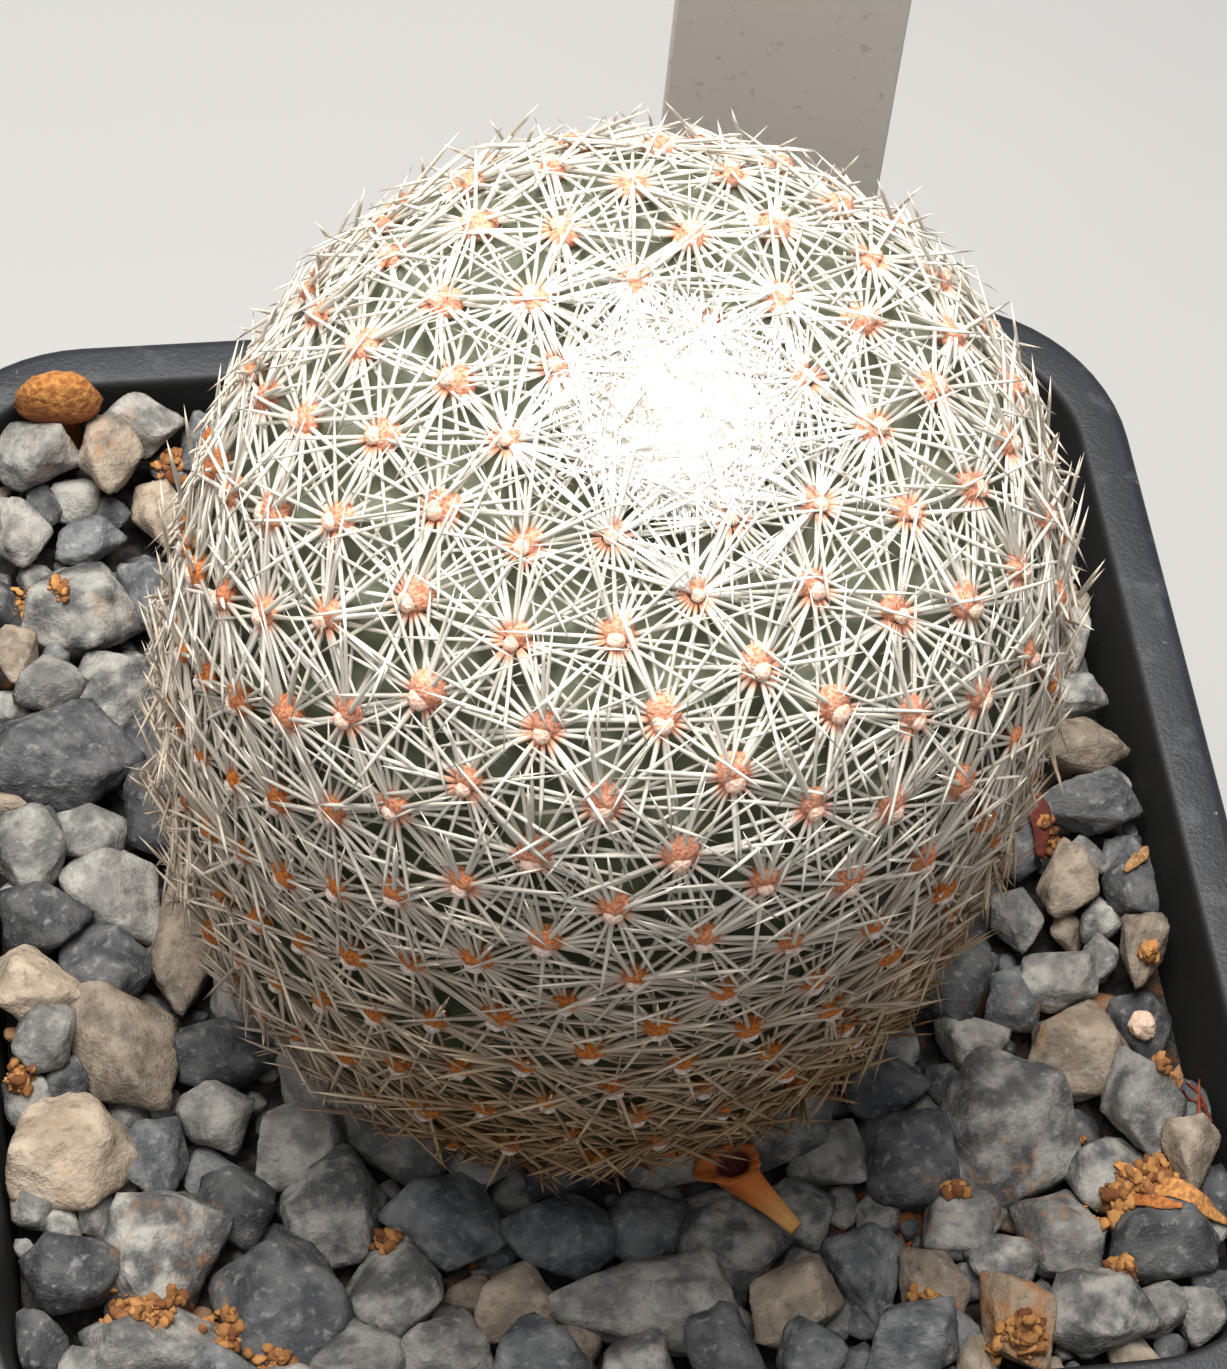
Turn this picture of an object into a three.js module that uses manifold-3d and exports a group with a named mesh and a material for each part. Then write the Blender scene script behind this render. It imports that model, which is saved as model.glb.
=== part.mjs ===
import * as THREE from 'three';
import Module from 'manifold-3d';
import { ConvexHull } from 'three/addons/math/ConvexHull.js';
import { ConvexGeometry } from 'three/addons/geometries/ConvexGeometry.js';
import { mergeVertices } from 'three/addons/utils/BufferGeometryUtils.js';

// A short, spiny cactus in a square plastic pot, top dressed with gravel.
// Millimetres, +Z up. The origin is the middle of the pot's base, the rim is level.

// Driving dimensions of the pot
const RIM_SIDE = 70;
const RIM_Z = 65;
const RIM_WIDTH = 3;
const RIM_CORNER = 10.6;
const RIM_THICKNESS = 1.1;
const SKIRT_DEPTH = 6;
const WALL = 0.9;
const FLOOR = 1.5;
const BASE_SIDE = 50;
const BASE_CORNER = 7.5;
const DRAIN_RADIUS = 2.6;
const DRAIN_OFFSET = 15.5;
const EDGE = 0.4;

// What fills the pot, and the clearance between neighbours
const GAP = 0.3;
const SOIL_TOP = RIM_Z - 12;
const BED_TOP = RIM_Z - 5.8;

// Driving dimensions of the cactus, skin measured at the spine cushions
const CACTUS_X = -1.9;
const CACTUS_Y = 1.2;
const BODY_FOOT_Z = 60.2;
const LEAN = THREE.MathUtils.degToRad(12.2);
const BODY_RADIUS = 19.3;
const UPPER_HEIGHT = 37.8;
const UPPER_POWER = 3;
const LOWER_HEIGHT = 19.1;
const LOWER_POWER = 2.15;
const NECK_RADIUS = 11;
const ROOT_TOP_RADIUS = 9.6;
const ROOT_TIP_RADIUS = 6.5;
const ROOT_DEPTH = 24;

// Spine cushions, set in a spiral by the golden angle, and their spines
const CUSHIONS = 372;
const GOLDEN_ANGLE = Math.PI * (3 - Math.sqrt(5));
const FIRST_ANGLE = 0.6;
const CROWN_CROWDING = 1.12;
const CUSHION_RADIUS = 0.6;
const CUSHION_LIFT = 0.15;
const TUBERCLE_DEPTH = 1.5;
const LOWEST_CUSHION_Z = 64.8;
const LOWEST_TIP_Z = 63;
const SPINES = 5;
const RADIAL_LENGTH = 4.4;
const RADIAL_TILT = THREE.MathUtils.degToRad(15);
const CENTRAL_LENGTH = 5;
const CENTRAL_TILT = THREE.MathUtils.degToRad(30);
const YOUNG_LENGTH = 2.6;
const YOUNG_TILT = THREE.MathUtils.degToRad(42);
const SPINE_CLEARANCE = 0.4;

// Gravel stones that stand out: x, y, half length, half width, and the turn of the long side
const CHOSEN_STONES = [
  [-27, 28, 2.5, 2.2, 10], [-23.3, 27.9, 2.6, 1.5, 80], [-21.8, 29.9, 2.3, 1.4, 170],
  [-20.9, 25.4, 2.6, 1.4, 85], [-17.8, 29.4, 2, 1.7, 60], [-28.6, 23.8, 2.1, 1.6, 90],
  [-24.9, 23.7, 2, 1.8, 20], [-25.8, 19, 3.4, 2.9, 10], [-21, 19.6, 3.3, 2.1, 105],
  [-29.4, 16, 1.9, 1.5, 95], [-24.2, 13.8, 3.3, 2.4, 70], [-27.2, 9.4, 4.2, 3.3, 165],
  [-29, 3.6, 2.6, 2, 85], [-25, 0.9, 3.4, 2.5, 120], [-21.4, -2.2, 4.1, 1.9, 75],
  [-28.6, -1, 2.8, 2, 160], [-29.2, -4.9, 2.6, 2.3, 165], [-25.3, -8, 4, 2.6, 120],
  [-20.2, -8.8, 3.2, 2, 165], [-28.3, -14.4, 3.6, 3.1, 15], [-16.7, -14.6, 3.2, 2.3, 20],
  [-23.9, -14.2, 2.6, 1.9, 100], [-23.7, -19.7, 4, 3.3, 80], [-15.2, -18.5, 3.3, 2.7, 40],
  [-17.9, -23.6, 4.6, 3.5, 100], [-24.3, -25.2, 4.2, 2, 175], [-12.5, -23, 3.2, 2.2, 60],
  [-6.7, -24.6, 2.7, 2.2, 10], [0.2, -25.3, 4.8, 2.9, 0], [-9.6, -19.2, 3, 2.5, 150],
  [-3.6, -20.8, 3.4, 2.4, 170], [4.8, -21.6, 3.3, 2.8, 160], [7.1, -26, 3.1, 2, 25],
  [11.6, -24, 3.2, 2.3, 95], [11, -17.6, 2.4, 1.9, 10], [14.7, -25.6, 2.3, 1.8, 90],
  [20.6, -17, 4.6, 3.9, 60], [25, -12.8, 3.1, 2.7, 20], [24.9, -8.5, 2.6, 1.8, 5],
  [28.9, -11.4, 2.7, 1.8, 80], [28.3, 1.4, 2.9, 1.9, 10], [28.4, 5, 2.5, 1.6, 170],
  [28.9, 13, 2.9, 1.9, 90], [28.8, 8.6, 1.8, 1.6, 0], [27.2, -17.2, 3.3, 2, 75],
  [29.3, -19.8, 2.6, 1.6, 80], [27, -24.6, 3.2, 2.6, 20], [21.9, -23.4, 2.8, 2.2, 100],
  [17.2, -21.8, 2.3, 2, 30], [22.6, -28, 3, 2.5, 10], [18.4, -28.4, 2.9, 1.8, 95],
  [14.2, -13.9, 2.9, 2.1, 160], [29.4, -7.6, 2.3, 1.4, 75], [26.4, -2.9, 2.2, 1.6, 60],
  [23.4, -4.4, 2, 1.5, 80], [29.4, -4.2, 2, 1.4, 110], [12.6, -28.9, 3, 1.9, 10],
  [-10.2, -27.5, 3.2, 2, 10],
];

// The rest of the gravel: how many stones of each mean radius are tried for
const STONE_SIZES = [[400, 3.1], [1500, 2.35], [4000, 1.75]];
const STONE_POINTS = 9;
const STONE_LENGTH = 1.34;
const STONE_WIDTH = 1.12;
const STONE_HEIGHT = 0.34;
const STONE_SPACING = 0.86;
const STONE_RISE = 0.3;
const SMALLEST_FACET = 0.06;

// Plant label and the loose bits on the gravel
const LABEL_WIDTH = 12;
const LABEL_LENGTH = 100;
const LABEL_THICKNESS = 0.5;
const LABEL_POINT = 14;
const LABEL_PLACE = new THREE.Vector3(11.2, 23.4, BED_TOP);
const LABEL_LEAN = THREE.MathUtils.degToRad(5);
const LABEL_BURIED = 44;
const FLOWER_MOUTH = new THREE.Vector3(5, -17.8, 62.3);
const FLOWER_TIP = new THREE.Vector3(8.5, -22, 61.7);
const CHIP_PLACE = new THREE.Vector3(-26, 30.2, 66.8);
const GRAIN_PLACE = new THREE.Vector3(28.6, -12, 61.5);

const wasm = await Module();
wasm.setup();

// Conversion between geometries and solids
function solidOf(geometry) {
  const bare = geometry.clone();
  bare.deleteAttribute('normal');
  bare.deleteAttribute('uv');
  const merged = mergeVertices(bare, 1e-4);
  const vertProperties = new Float32Array(merged.attributes.position.array);
  const triVerts = new Uint32Array(merged.index.array);
  return new wasm.Manifold(new wasm.Mesh({ numProp: 3, vertProperties, triVerts }));
}

function geometryOf(solid) {
  const mesh = solid.getMesh();
  return indexedGeometry(Array.from(mesh.vertProperties), Array.from(mesh.triVerts));
}

function indexedGeometry(positions, indices) {
  const geometry = new THREE.BufferGeometry();
  geometry.setAttribute('position', new THREE.Float32BufferAttribute(positions, 3));
  geometry.setIndex(indices);
  geometry.computeVertexNormals();
  return geometry;
}

function largestBody(solid) {
  const bodies = solid.decompose();
  return bodies.reduce((best, body) => (body.volume() > best.volume() ? body : best));
}

// Repeatable random numbers from 0 to 1
function randomSource(seed) {
  let state = seed;
  return () => {
    state = (state * 16807) % 2147483647;
    return state / 2147483647;
  };
}

function mix(a, b, share) {
  return a + (b - a) * share;
}

// Closed skins through a stack of rings, with a point in the middle of each end
function ringStack(rings) {
  const count = rings[0].length;
  const positions = [];
  const indices = [];
  for (const ring of rings) {
    for (const point of ring) positions.push(point.x, point.y, point.z);
  }
  const first = rings[0].reduce((sum, point) => sum.add(point), new THREE.Vector3());
  const last = rings.at(-1).reduce((sum, point) => sum.add(point), new THREE.Vector3());
  first.divideScalar(count);
  last.divideScalar(count);
  const firstIndex = rings.length * count;
  const lastIndex = firstIndex + 1;
  positions.push(first.x, first.y, first.z, last.x, last.y, last.z);
  for (let i = 0; i < count; i += 1) {
    const next = (i + 1) % count;
    indices.push(firstIndex, next, i);
    const top = (rings.length - 1) * count;
    indices.push(lastIndex, top + i, top + next);
    for (let ring = 0; ring + 1 < rings.length; ring += 1) {
      const low = ring * count;
      const high = low + count;
      indices.push(low + i, low + next, high + next);
      indices.push(low + i, high + next, high + i);
    }
  }
  return indexedGeometry(positions, indices);
}

function squareRing(side, corner, z, steps = 5) {
  const points = [];
  const middle = side / 2 - corner;
  for (let quarter = 0; quarter < 4; quarter += 1) {
    const diagonal = (quarter + 0.5) * Math.PI / 2;
    const cx = Math.SQRT2 * middle * Math.cos(diagonal);
    const cy = Math.SQRT2 * middle * Math.sin(diagonal);
    for (let step = 0; step <= steps; step += 1) {
      const angle = (quarter + step / steps) * Math.PI / 2;
      points.push(new THREE.Vector3(cx + corner * Math.cos(angle), cy + corner * Math.sin(angle), z));
    }
  }
  return points;
}

function roundRing(radius, z, count, x = 0, y = 0) {
  const points = [];
  for (let i = 0; i < count; i += 1) {
    const angle = (i / count) * 2 * Math.PI;
    points.push(new THREE.Vector3(x + radius * Math.cos(angle), y + radius * Math.sin(angle), z));
  }
  return points;
}

// Inner wall of the pot, from its floor to the rim
const INNER_BASE_SIDE = BASE_SIDE - 2 * WALL;
const INNER_RIM_SIDE = RIM_SIDE - 2 * RIM_WIDTH;

function innerSide(z) {
  return mix(INNER_BASE_SIDE, INNER_RIM_SIDE, (z - FLOOR) / (RIM_Z - FLOOR));
}

function innerCorner(z) {
  return mix(BASE_CORNER - WALL, RIM_CORNER - RIM_WIDTH, (z - FLOOR) / (RIM_Z - FLOOR));
}

function innerRing(z, inset = 0) {
  return squareRing(innerSide(z) - 2 * inset, innerCorner(z) - inset, z);
}

// Pot: one thin moulded wall, a flat rim with a turned down skirt, and drain holes
function potGeometry() {
  const underRim = RIM_Z - RIM_THICKNESS;
  const skirtEnd = RIM_Z - SKIRT_DEPTH;
  const shell = ringStack([
    squareRing(BASE_SIDE - 2 * EDGE, BASE_CORNER - EDGE, 0),
    squareRing(BASE_SIDE, BASE_CORNER, EDGE),
    squareRing(innerSide(underRim) + 2 * WALL, innerCorner(underRim) + WALL, underRim),
    squareRing(RIM_SIDE - 2 * WALL, RIM_CORNER - WALL, underRim),
    squareRing(RIM_SIDE - 2 * WALL, RIM_CORNER - WALL, skirtEnd),
    squareRing(RIM_SIDE, RIM_CORNER, skirtEnd),
    squareRing(RIM_SIDE, RIM_CORNER, RIM_Z - EDGE),
    squareRing(RIM_SIDE - 2 * EDGE, RIM_CORNER - EDGE, RIM_Z),
    squareRing(INNER_RIM_SIDE + EDGE, RIM_CORNER - RIM_WIDTH + EDGE / 2, RIM_Z),
    squareRing(innerSide(RIM_Z - EDGE), innerCorner(RIM_Z - EDGE), RIM_Z - EDGE),
    innerRing(FLOOR),
  ]);
  let solid = solidOf(shell);
  for (let turn = 0; turn < 8; turn += 1) {
    const angle = turn * Math.PI / 4;
    const x = Math.round(Math.cos(angle)) * DRAIN_OFFSET;
    const y = Math.round(Math.sin(angle)) * DRAIN_OFFSET;
    const plug = ringStack([
      roundRing(DRAIN_RADIUS, -1, 12, x, y),
      roundRing(DRAIN_RADIUS, FLOOR + 1, 12, x, y),
    ]);
    solid = solid.subtract(solidOf(plug));
  }
  return geometryOf(solid);
}

// Plant label: a bare strip with rounded shoulders and a point that goes in the soil
function labelOutline(margin) {
  const half = LABEL_WIDTH / 2 + margin;
  const round = 1.5;
  const top = LABEL_LENGTH - LABEL_BURIED + margin;
  const tip = -LABEL_BURIED - margin;
  const outline = new THREE.Shape();
  outline.moveTo(0, tip);
  outline.lineTo(half, tip + LABEL_POINT);
  outline.lineTo(half, top - round);
  outline.absarc(half - round, top - round, round, 0, Math.PI / 2);
  outline.lineTo(round - half, top);
  outline.absarc(round - half, top - round, round, Math.PI / 2, Math.PI);
  outline.lineTo(-half, tip + LABEL_POINT);
  return outline;
}

function labelGeometry(margin = 0) {
  const depth = LABEL_THICKNESS + 2 * margin;
  const geometry = new THREE.ExtrudeGeometry(labelOutline(margin), {
    depth,
    bevelEnabled: false,
    curveSegments: 3,
  });
  geometry.translate(0, 0, -depth / 2);
  geometry.rotateX(Math.PI / 2 - LABEL_LEAN);
  return geometry;
}

function labelSlot() {
  const slot = labelGeometry(GAP);
  slot.translate(LABEL_PLACE.x, LABEL_PLACE.y, LABEL_PLACE.z);
  return solidOf(slot);
}

// Lean of the plant: it bends over in the neck, and stands straight in the soil
function lean(point) {
  const share = THREE.MathUtils.smoothstep(point.z, BODY_FOOT_Z - 5, BODY_FOOT_Z + 1);
  const angle = LEAN * share;
  const y = point.y - CACTUS_Y;
  const z = point.z - BODY_FOOT_Z;
  return new THREE.Vector3(
    point.x,
    CACTUS_Y + y * Math.cos(angle) - z * Math.sin(angle),
    BODY_FOOT_Z + y * Math.sin(angle) + z * Math.cos(angle),
  );
}

// Skin profile from the crown down, as radius and height with the skin area so far
function skinProfile() {
  const steps = 480;
  const table = [];
  let area = 0;
  for (let step = 0; step <= steps; step += 1) {
    const angle = Math.PI / 2 - (step / steps) * Math.PI;
    const upper = angle > 0;
    const power = 2 / (upper ? UPPER_POWER : LOWER_POWER);
    const height = upper ? UPPER_HEIGHT : LOWER_HEIGHT;
    const radius = BODY_RADIUS * Math.max(0, Math.cos(angle)) ** power;
    const z = Math.sign(angle) * height * Math.abs(Math.sin(angle)) ** power;
    const before = table.at(-1);
    if (before) {
      const run = Math.hypot(radius - before.radius, z - before.z);
      area += Math.PI * (radius + before.radius) * run;
    }
    table.push({ radius, z, area });
  }
  return table;
}

const PROFILE = skinProfile();

function skinAtArea(area) {
  const index = Math.max(1, PROFILE.findIndex((row) => row.area >= area));
  const low = PROFILE[index - 1];
  const high = PROFILE[index];
  const share = (area - low.area) / (high.area - low.area);
  const down = new THREE.Vector2(high.radius - low.radius, high.z - low.z).normalize();
  return { radius: mix(low.radius, high.radius, share), z: mix(low.z, high.z, share), down };
}

// Spine cushions: where each one sits on the skin, and its frame there
function cushionFrames() {
  const foot = PROFILE.find((row) => row.z < 0 && row.radius < NECK_RADIUS + 2.4);
  const frames = [];
  for (let i = 0; i < CUSHIONS; i += 1) {
    const area = foot.area * ((i + 0.5) / CUSHIONS) ** CROWN_CROWDING;
    const angle = FIRST_ANGLE - i * GOLDEN_ANGLE;
    const { radius, z, down } = skinAtArea(area);
    const place = new THREE.Vector3(
      CACTUS_X + radius * Math.cos(angle),
      CACTUS_Y + radius * Math.sin(angle),
      BODY_FOOT_Z + LOWER_HEIGHT + z,
    );
    const out = new THREE.Vector3(-down.y * Math.cos(angle), -down.y * Math.sin(angle), down.x);
    const up = new THREE.Vector3(-down.x * Math.cos(angle), -down.x * Math.sin(angle), -down.y);
    out.applyAxisAngle(new THREE.Vector3(1, 0, 0), LEAN);
    up.applyAxisAngle(new THREE.Vector3(1, 0, 0), LEAN);
    const side = new THREE.Vector3().crossVectors(up, out);
    const seat = lean(place);
    if (seat.z > LOWEST_CUSHION_Z) frames.push({ seat, out, up, side, youth: Math.exp(-i / 14) });
  }
  return frames;
}

function onFrame(frame, across, along, height) {
  return frame.seat.clone()
    .addScaledVector(frame.side, across)
    .addScaledVector(frame.up, along)
    .addScaledVector(frame.out, height);
}

// Shortest distance between two spines, each a straight line from root to tip
function spineDistance(a, b) {
  const d1 = a.tip.clone().sub(a.root);
  const d2 = b.tip.clone().sub(b.root);
  const r = a.root.clone().sub(b.root);
  const aa = d1.dot(d1);
  const bb = d2.dot(d2);
  const ab = d1.dot(d2);
  const ar = d1.dot(r);
  const br = d2.dot(r);
  const spread = aa * bb - ab * ab;
  let s = spread > 1e-9 ? THREE.MathUtils.clamp((ab * br - ar * bb) / spread, 0, 1) : 0;
  const t = THREE.MathUtils.clamp((ab * s + br) / bb, 0, 1);
  s = THREE.MathUtils.clamp((ab * t - ar) / aa, 0, 1);
  const p = a.root.clone().addScaledVector(d1, s);
  return p.distanceTo(b.root.clone().addScaledVector(d2, t));
}

// A tip stays over the gravel and outside the neck
function clearOfFoot(tip) {
  const fromAxis = Math.hypot(tip.x - CACTUS_X, tip.y - CACTUS_Y);
  return tip.z > LOWEST_TIP_Z && (tip.z > BODY_FOOT_Z + 10 || fromAxis > NECK_RADIUS + 2.6);
}

// Spine tips: each keeps its length and swings a little until it clears those before it
const RISES = [0, 6, 12, -5, 18, 25, 33, 42, 52, 62, 72].map(THREE.MathUtils.degToRad);
const TURNS = [0, 9, -9, 18, -18].map(THREE.MathUtils.degToRad);

function spineAt(frame, bearing, length, rise, turn) {
  const reach = CUSHION_RADIUS * 0.6;
  const flat = length * Math.cos(rise);
  const across = reach * Math.sin(bearing);
  const along = reach * Math.cos(bearing);
  const root = onFrame(frame, across, along, 0.05);
  const swing = bearing + turn;
  const height = length * Math.sin(rise);
  const tip = onFrame(frame, across + flat * Math.sin(swing), along + flat * Math.cos(swing), height);
  return { root, tip };
}

function clearSpine(frame, bearing, length, tilt, near) {
  for (const rise of RISES) {
    for (const turn of TURNS) {
      const spine = spineAt(frame, bearing, length, tilt + rise, turn);
      const crossed = near.some((other) => spineDistance(spine, other) < SPINE_CLEARANCE);
      if (!crossed && clearOfFoot(spine.tip)) return spine;
    }
  }
  return null;
}

function growSpines(frames) {
  const grown = [];
  for (const frame of frames) {
    const near = grown.filter((spine) => spine.root.distanceTo(frame.seat) < 11);
    frame.tips = [];
    for (let k = 0; k < SPINES; k += 1) {
      const central = k === 0;
      const length = mix(central ? CENTRAL_LENGTH : RADIAL_LENGTH, YOUNG_LENGTH, frame.youth);
      const tilt = mix(central ? CENTRAL_TILT : RADIAL_TILT, YOUNG_TILT, frame.youth);
      const spine = clearSpine(frame, (k / SPINES) * 2 * Math.PI, length, tilt, near);
      frame.tips.push(spine ? spine.tip : null);
      if (spine) grown.push(spine);
    }
  }
}

// Triangles of the skin between the cushions and the plain ring under them
function skinTriangles(seats, ringStart) {
  const hull = new ConvexHull().setFromPoints(seats.map((seat) => seat.clone()));
  const order = new Map();
  seats.forEach((seat, index) => {
    order.set(`${seat.x.toFixed(5)} ${seat.y.toFixed(5)} ${seat.z.toFixed(5)}`, index);
  });
  const triangles = [];
  for (const face of hull.faces) {
    const corners = [];
    let edge = face.edge;
    do {
      const point = edge.head().point;
      corners.push(order.get(`${point.x.toFixed(5)} ${point.y.toFixed(5)} ${point.z.toFixed(5)}`));
      edge = edge.next;
    } while (edge !== face.edge);
    if (corners.some((corner) => corner < ringStart)) triangles.push(corners);
  }
  return triangles;
}

// Cactus: cushions on raised tubercles, valleys between them, spines, neck and root
function cactusGeometry(frames) {
  const ringCount = 22;
  const ringHeight = BODY_FOOT_Z + LOWER_HEIGHT + PROFILE.find(
    (row) => row.z < 0 && row.radius < NECK_RADIUS + 1.2,
  ).z;
  const ring = roundRing(NECK_RADIUS + 1.2, ringHeight, ringCount, CACTUS_X, CACTUS_Y);
  const seats = frames.map((frame) => frame.seat).concat(ring.map(lean));
  const triangles = skinTriangles(seats, frames.length);

  const points = seats.map((seat) => seat.clone());
  const indices = [];
  const valley = triangles.map((corners) => {
    const middle = corners.reduce((sum, c) => sum.add(seats[c]), new THREE.Vector3()).divideScalar(3);
    const [a, b, c] = corners.map((corner) => seats[corner]);
    const inward = b.clone().sub(a).cross(c.clone().sub(a)).normalize();
    const plain = corners.filter((corner) => corner >= frames.length).length;
    middle.addScaledVector(inward, -TUBERCLE_DEPTH * (1 - plain / 3));
    points.push(middle);
    return points.length - 1;
  });

  const sideOf = new Map();
  triangles.forEach((corners, t) => {
    corners.forEach((from, k) => sideOf.set(`${from} ${corners[(k + 1) % 3]}`, t));
  });
  const around = frames.map(() => new Map());
  triangles.forEach((corners, t) => {
    corners.forEach((from, k) => {
      const to = corners[(k + 1) % 3];
      const other = sideOf.get(`${to} ${from}`);
      if (other === undefined) {
        indices.push(from, to, valley[t]);
      } else if (from < frames.length) {
        around[from].set(valley[other], valley[t]);
      } else {
        indices.push(from, valley[other], valley[t]);
      }
    });
  });

  frames.forEach((frame, f) => {
    points[f].addScaledVector(frame.out, CUSHION_LIFT);
    const rim = [];
    for (let k = 0; k < SPINES; k += 1) {
      const angle = ((k - 0.5) / SPINES) * 2 * Math.PI;
      const across = CUSHION_RADIUS * Math.sin(angle);
      const along = CUSHION_RADIUS * Math.cos(angle);
      points.push(onFrame(frame, across, along, 0));
      rim.push(points.length - 1);
    }
    frame.tips.forEach((tip, k) => {
      const left = rim[k];
      const right = rim[(k + 1) % SPINES];
      if (tip) {
        points.push(tip);
        const apex = points.length - 1;
        indices.push(f, apex, left, left, apex, right, right, apex, f);
      } else {
        indices.push(f, right, left);
      }
    });
    stitchCushion(frame, points, indices, rim, around[f]);
  });

  rootRings(points, indices, frames.length, ringCount);
  return indexedGeometry(points.flatMap((point) => point.toArray()), indices);
}

// Band of triangles from a cushion's rim out to the valley points round it
function stitchCushion(frame, points, indices, rim, links) {
  const loop = [];
  let valleyPoint = links.keys().next().value;
  do {
    loop.push(valleyPoint);
    valleyPoint = links.get(valleyPoint);
  } while (valleyPoint !== loop[0]);
  const bearing = (index) => {
    const arm = points[index].clone().sub(frame.seat);
    return Math.atan2(arm.dot(frame.side), arm.dot(frame.up));
  };
  const inner = rim.map((index) => ({ index, angle: bearing(index) }));
  const outer = loop.map((index) => ({ index, angle: bearing(index) }));
  inner.sort((a, b) => a.angle - b.angle);
  outer.sort((a, b) => a.angle - b.angle);
  let i = 0;
  let o = 0;
  while (i < inner.length || o < outer.length) {
    const a = inner[i % inner.length];
    const b = outer[o % outer.length];
    const nextInner = inner[(i + 1) % inner.length];
    const nextOuter = outer[(o + 1) % outer.length];
    const innerTurn = nextInner.angle + (i + 1 >= inner.length ? 2 * Math.PI : 0);
    const outerTurn = nextOuter.angle + (o + 1 >= outer.length ? 2 * Math.PI : 0);
    if (o >= outer.length || (i < inner.length && innerTurn < outerTurn)) {
      indices.push(a.index, nextInner.index, b.index);
      i += 1;
    } else {
      indices.push(a.index, nextOuter.index, b.index);
      o += 1;
    }
  }
}

// Neck and root, a plain taper down from the ring under the body
function rootRings(points, indices, ringStart, count) {
  const levels = [
    [NECK_RADIUS, BODY_FOOT_Z - 1.6],
    [NECK_RADIUS, SOIL_TOP + 1],
    [ROOT_TOP_RADIUS, SOIL_TOP],
    [ROOT_TIP_RADIUS, SOIL_TOP - ROOT_DEPTH],
  ];
  let above = ringStart;
  for (const [radius, z] of levels) {
    const start = points.length;
    for (const point of roundRing(radius, z, count, CACTUS_X, CACTUS_Y)) points.push(lean(point));
    for (let i = 0; i < count; i += 1) {
      const next = (i + 1) % count;
      indices.push(start + i, start + next, above + next);
      indices.push(start + i, above + next, above + i);
    }
    above = start;
  }
  points.push(new THREE.Vector3(CACTUS_X, CACTUS_Y, SOIL_TOP - ROOT_DEPTH));
  const tip = points.length - 1;
  for (let i = 0; i < count; i += 1) indices.push(tip, above + (i + 1) % count, above + i);
}

// Soil: fills the pot, with a plain hole for the root and a slot for the label
function soilGeometry() {
  const block = ringStack([innerRing(FLOOR, GAP), innerRing(SOIL_TOP, GAP)]);
  const depth = SOIL_TOP - ROOT_DEPTH;
  const hole = ringStack([
    roundRing(ROOT_TIP_RADIUS + GAP, depth, 22, CACTUS_X, CACTUS_Y),
    roundRing(ROOT_TOP_RADIUS + GAP, SOIL_TOP, 22, CACTUS_X, CACTUS_Y),
    roundRing(ROOT_TOP_RADIUS + GAP, SOIL_TOP + 1, 22, CACTUS_X, CACTUS_Y),
  ]);
  return geometryOf(solidOf(block).subtract(solidOf(hole)).subtract(labelSlot()));
}

// Stones: where they lie, the chosen ones, then random places, tried for the big ones first
function stonePlaces() {
  const random = randomSource(4127);
  const half = innerSide(BED_TOP) / 2 - GAP;
  const corner = innerCorner(BED_TOP);
  const places = CHOSEN_STONES.map(([x, y, long, wide, degrees], i) => {
    const radius = (long + wide) / (STONE_LENGTH + STONE_WIDTH);
    const turn = THREE.MathUtils.degToRad(degrees);
    return { x, y, radius, long, wide, turn, tip: mix(-0.4, 0.4, random()), shape: 1 + (i % 12) };
  });
  for (const [tries, meanRadius] of STONE_SIZES) {
    for (let i = 0; i < tries; i += 1) {
      const radius = meanRadius * mix(0.85, 1.15, random());
      const x = mix(-half, half, random());
      const y = mix(-half, half, random());
      const turn = random() * 2 * Math.PI;
      const tip = mix(-0.5, 0.5, random());
      const shape = 1 + Math.floor(random() * 12);
      const reach = radius * 1.1;
      const insideX = Math.abs(x) + reach - (half - corner);
      const insideY = Math.abs(y) + reach - (half - corner);
      const overCorner = Math.hypot(Math.max(0, insideX), Math.max(0, insideY));
      const outside = insideX > corner || insideY > corner || overCorner > corner;
      const fromPlant = Math.hypot(x - CACTUS_X, y - CACTUS_Y);
      const crowded = places.some((other) => (
        Math.hypot(x - other.x, y - other.y) < STONE_SPACING * (radius + other.radius)
      ));
      const besideLabel = Math.abs(x - LABEL_PLACE.x) < LABEL_WIDTH / 2 + radius;
      const onLabel = besideLabel && Math.abs(y - LABEL_PLACE.y) < radius;
      if (outside || crowded || onLabel || fromPlant < NECK_RADIUS + radius) continue;
      places.push({ x, y, radius, long: radius * STONE_LENGTH, wide: radius * STONE_WIDTH, turn, tip, shape });
    }
  }
  return places;
}

// One stone: a chip with flat faces, the hull of points spread on a flattened ball
function stoneSolid(place) {
  const random = randomSource(place.shape * 9973);
  const corners = [];
  for (let i = 0; i < STONE_POINTS; i += 1) {
    const height = 1 - (2 * i + 1) / STONE_POINTS;
    const angle = i * GOLDEN_ANGLE + mix(-0.35, 0.35, random());
    const wide = Math.sqrt(1 - height * height) * mix(0.82, 1.08, random());
    corners.push(new THREE.Vector3(
      wide * Math.cos(angle) * place.long,
      wide * Math.sin(angle) * place.wide,
      height * (place.long + place.wide) * STONE_HEIGHT * mix(0.85, 1.1, random()),
    ));
  }
  const turned = new THREE.Matrix4().makeRotationFromEuler(new THREE.Euler(place.tip, 0, place.turn, 'ZYX'));
  const rise = BED_TOP + place.radius * STONE_RISE;
  for (const corner of corners) {
    corner.applyMatrix4(turned).add(new THREE.Vector3(place.x, place.y, rise));
  }
  return solidOf(new ConvexGeometry(corners));
}

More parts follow.
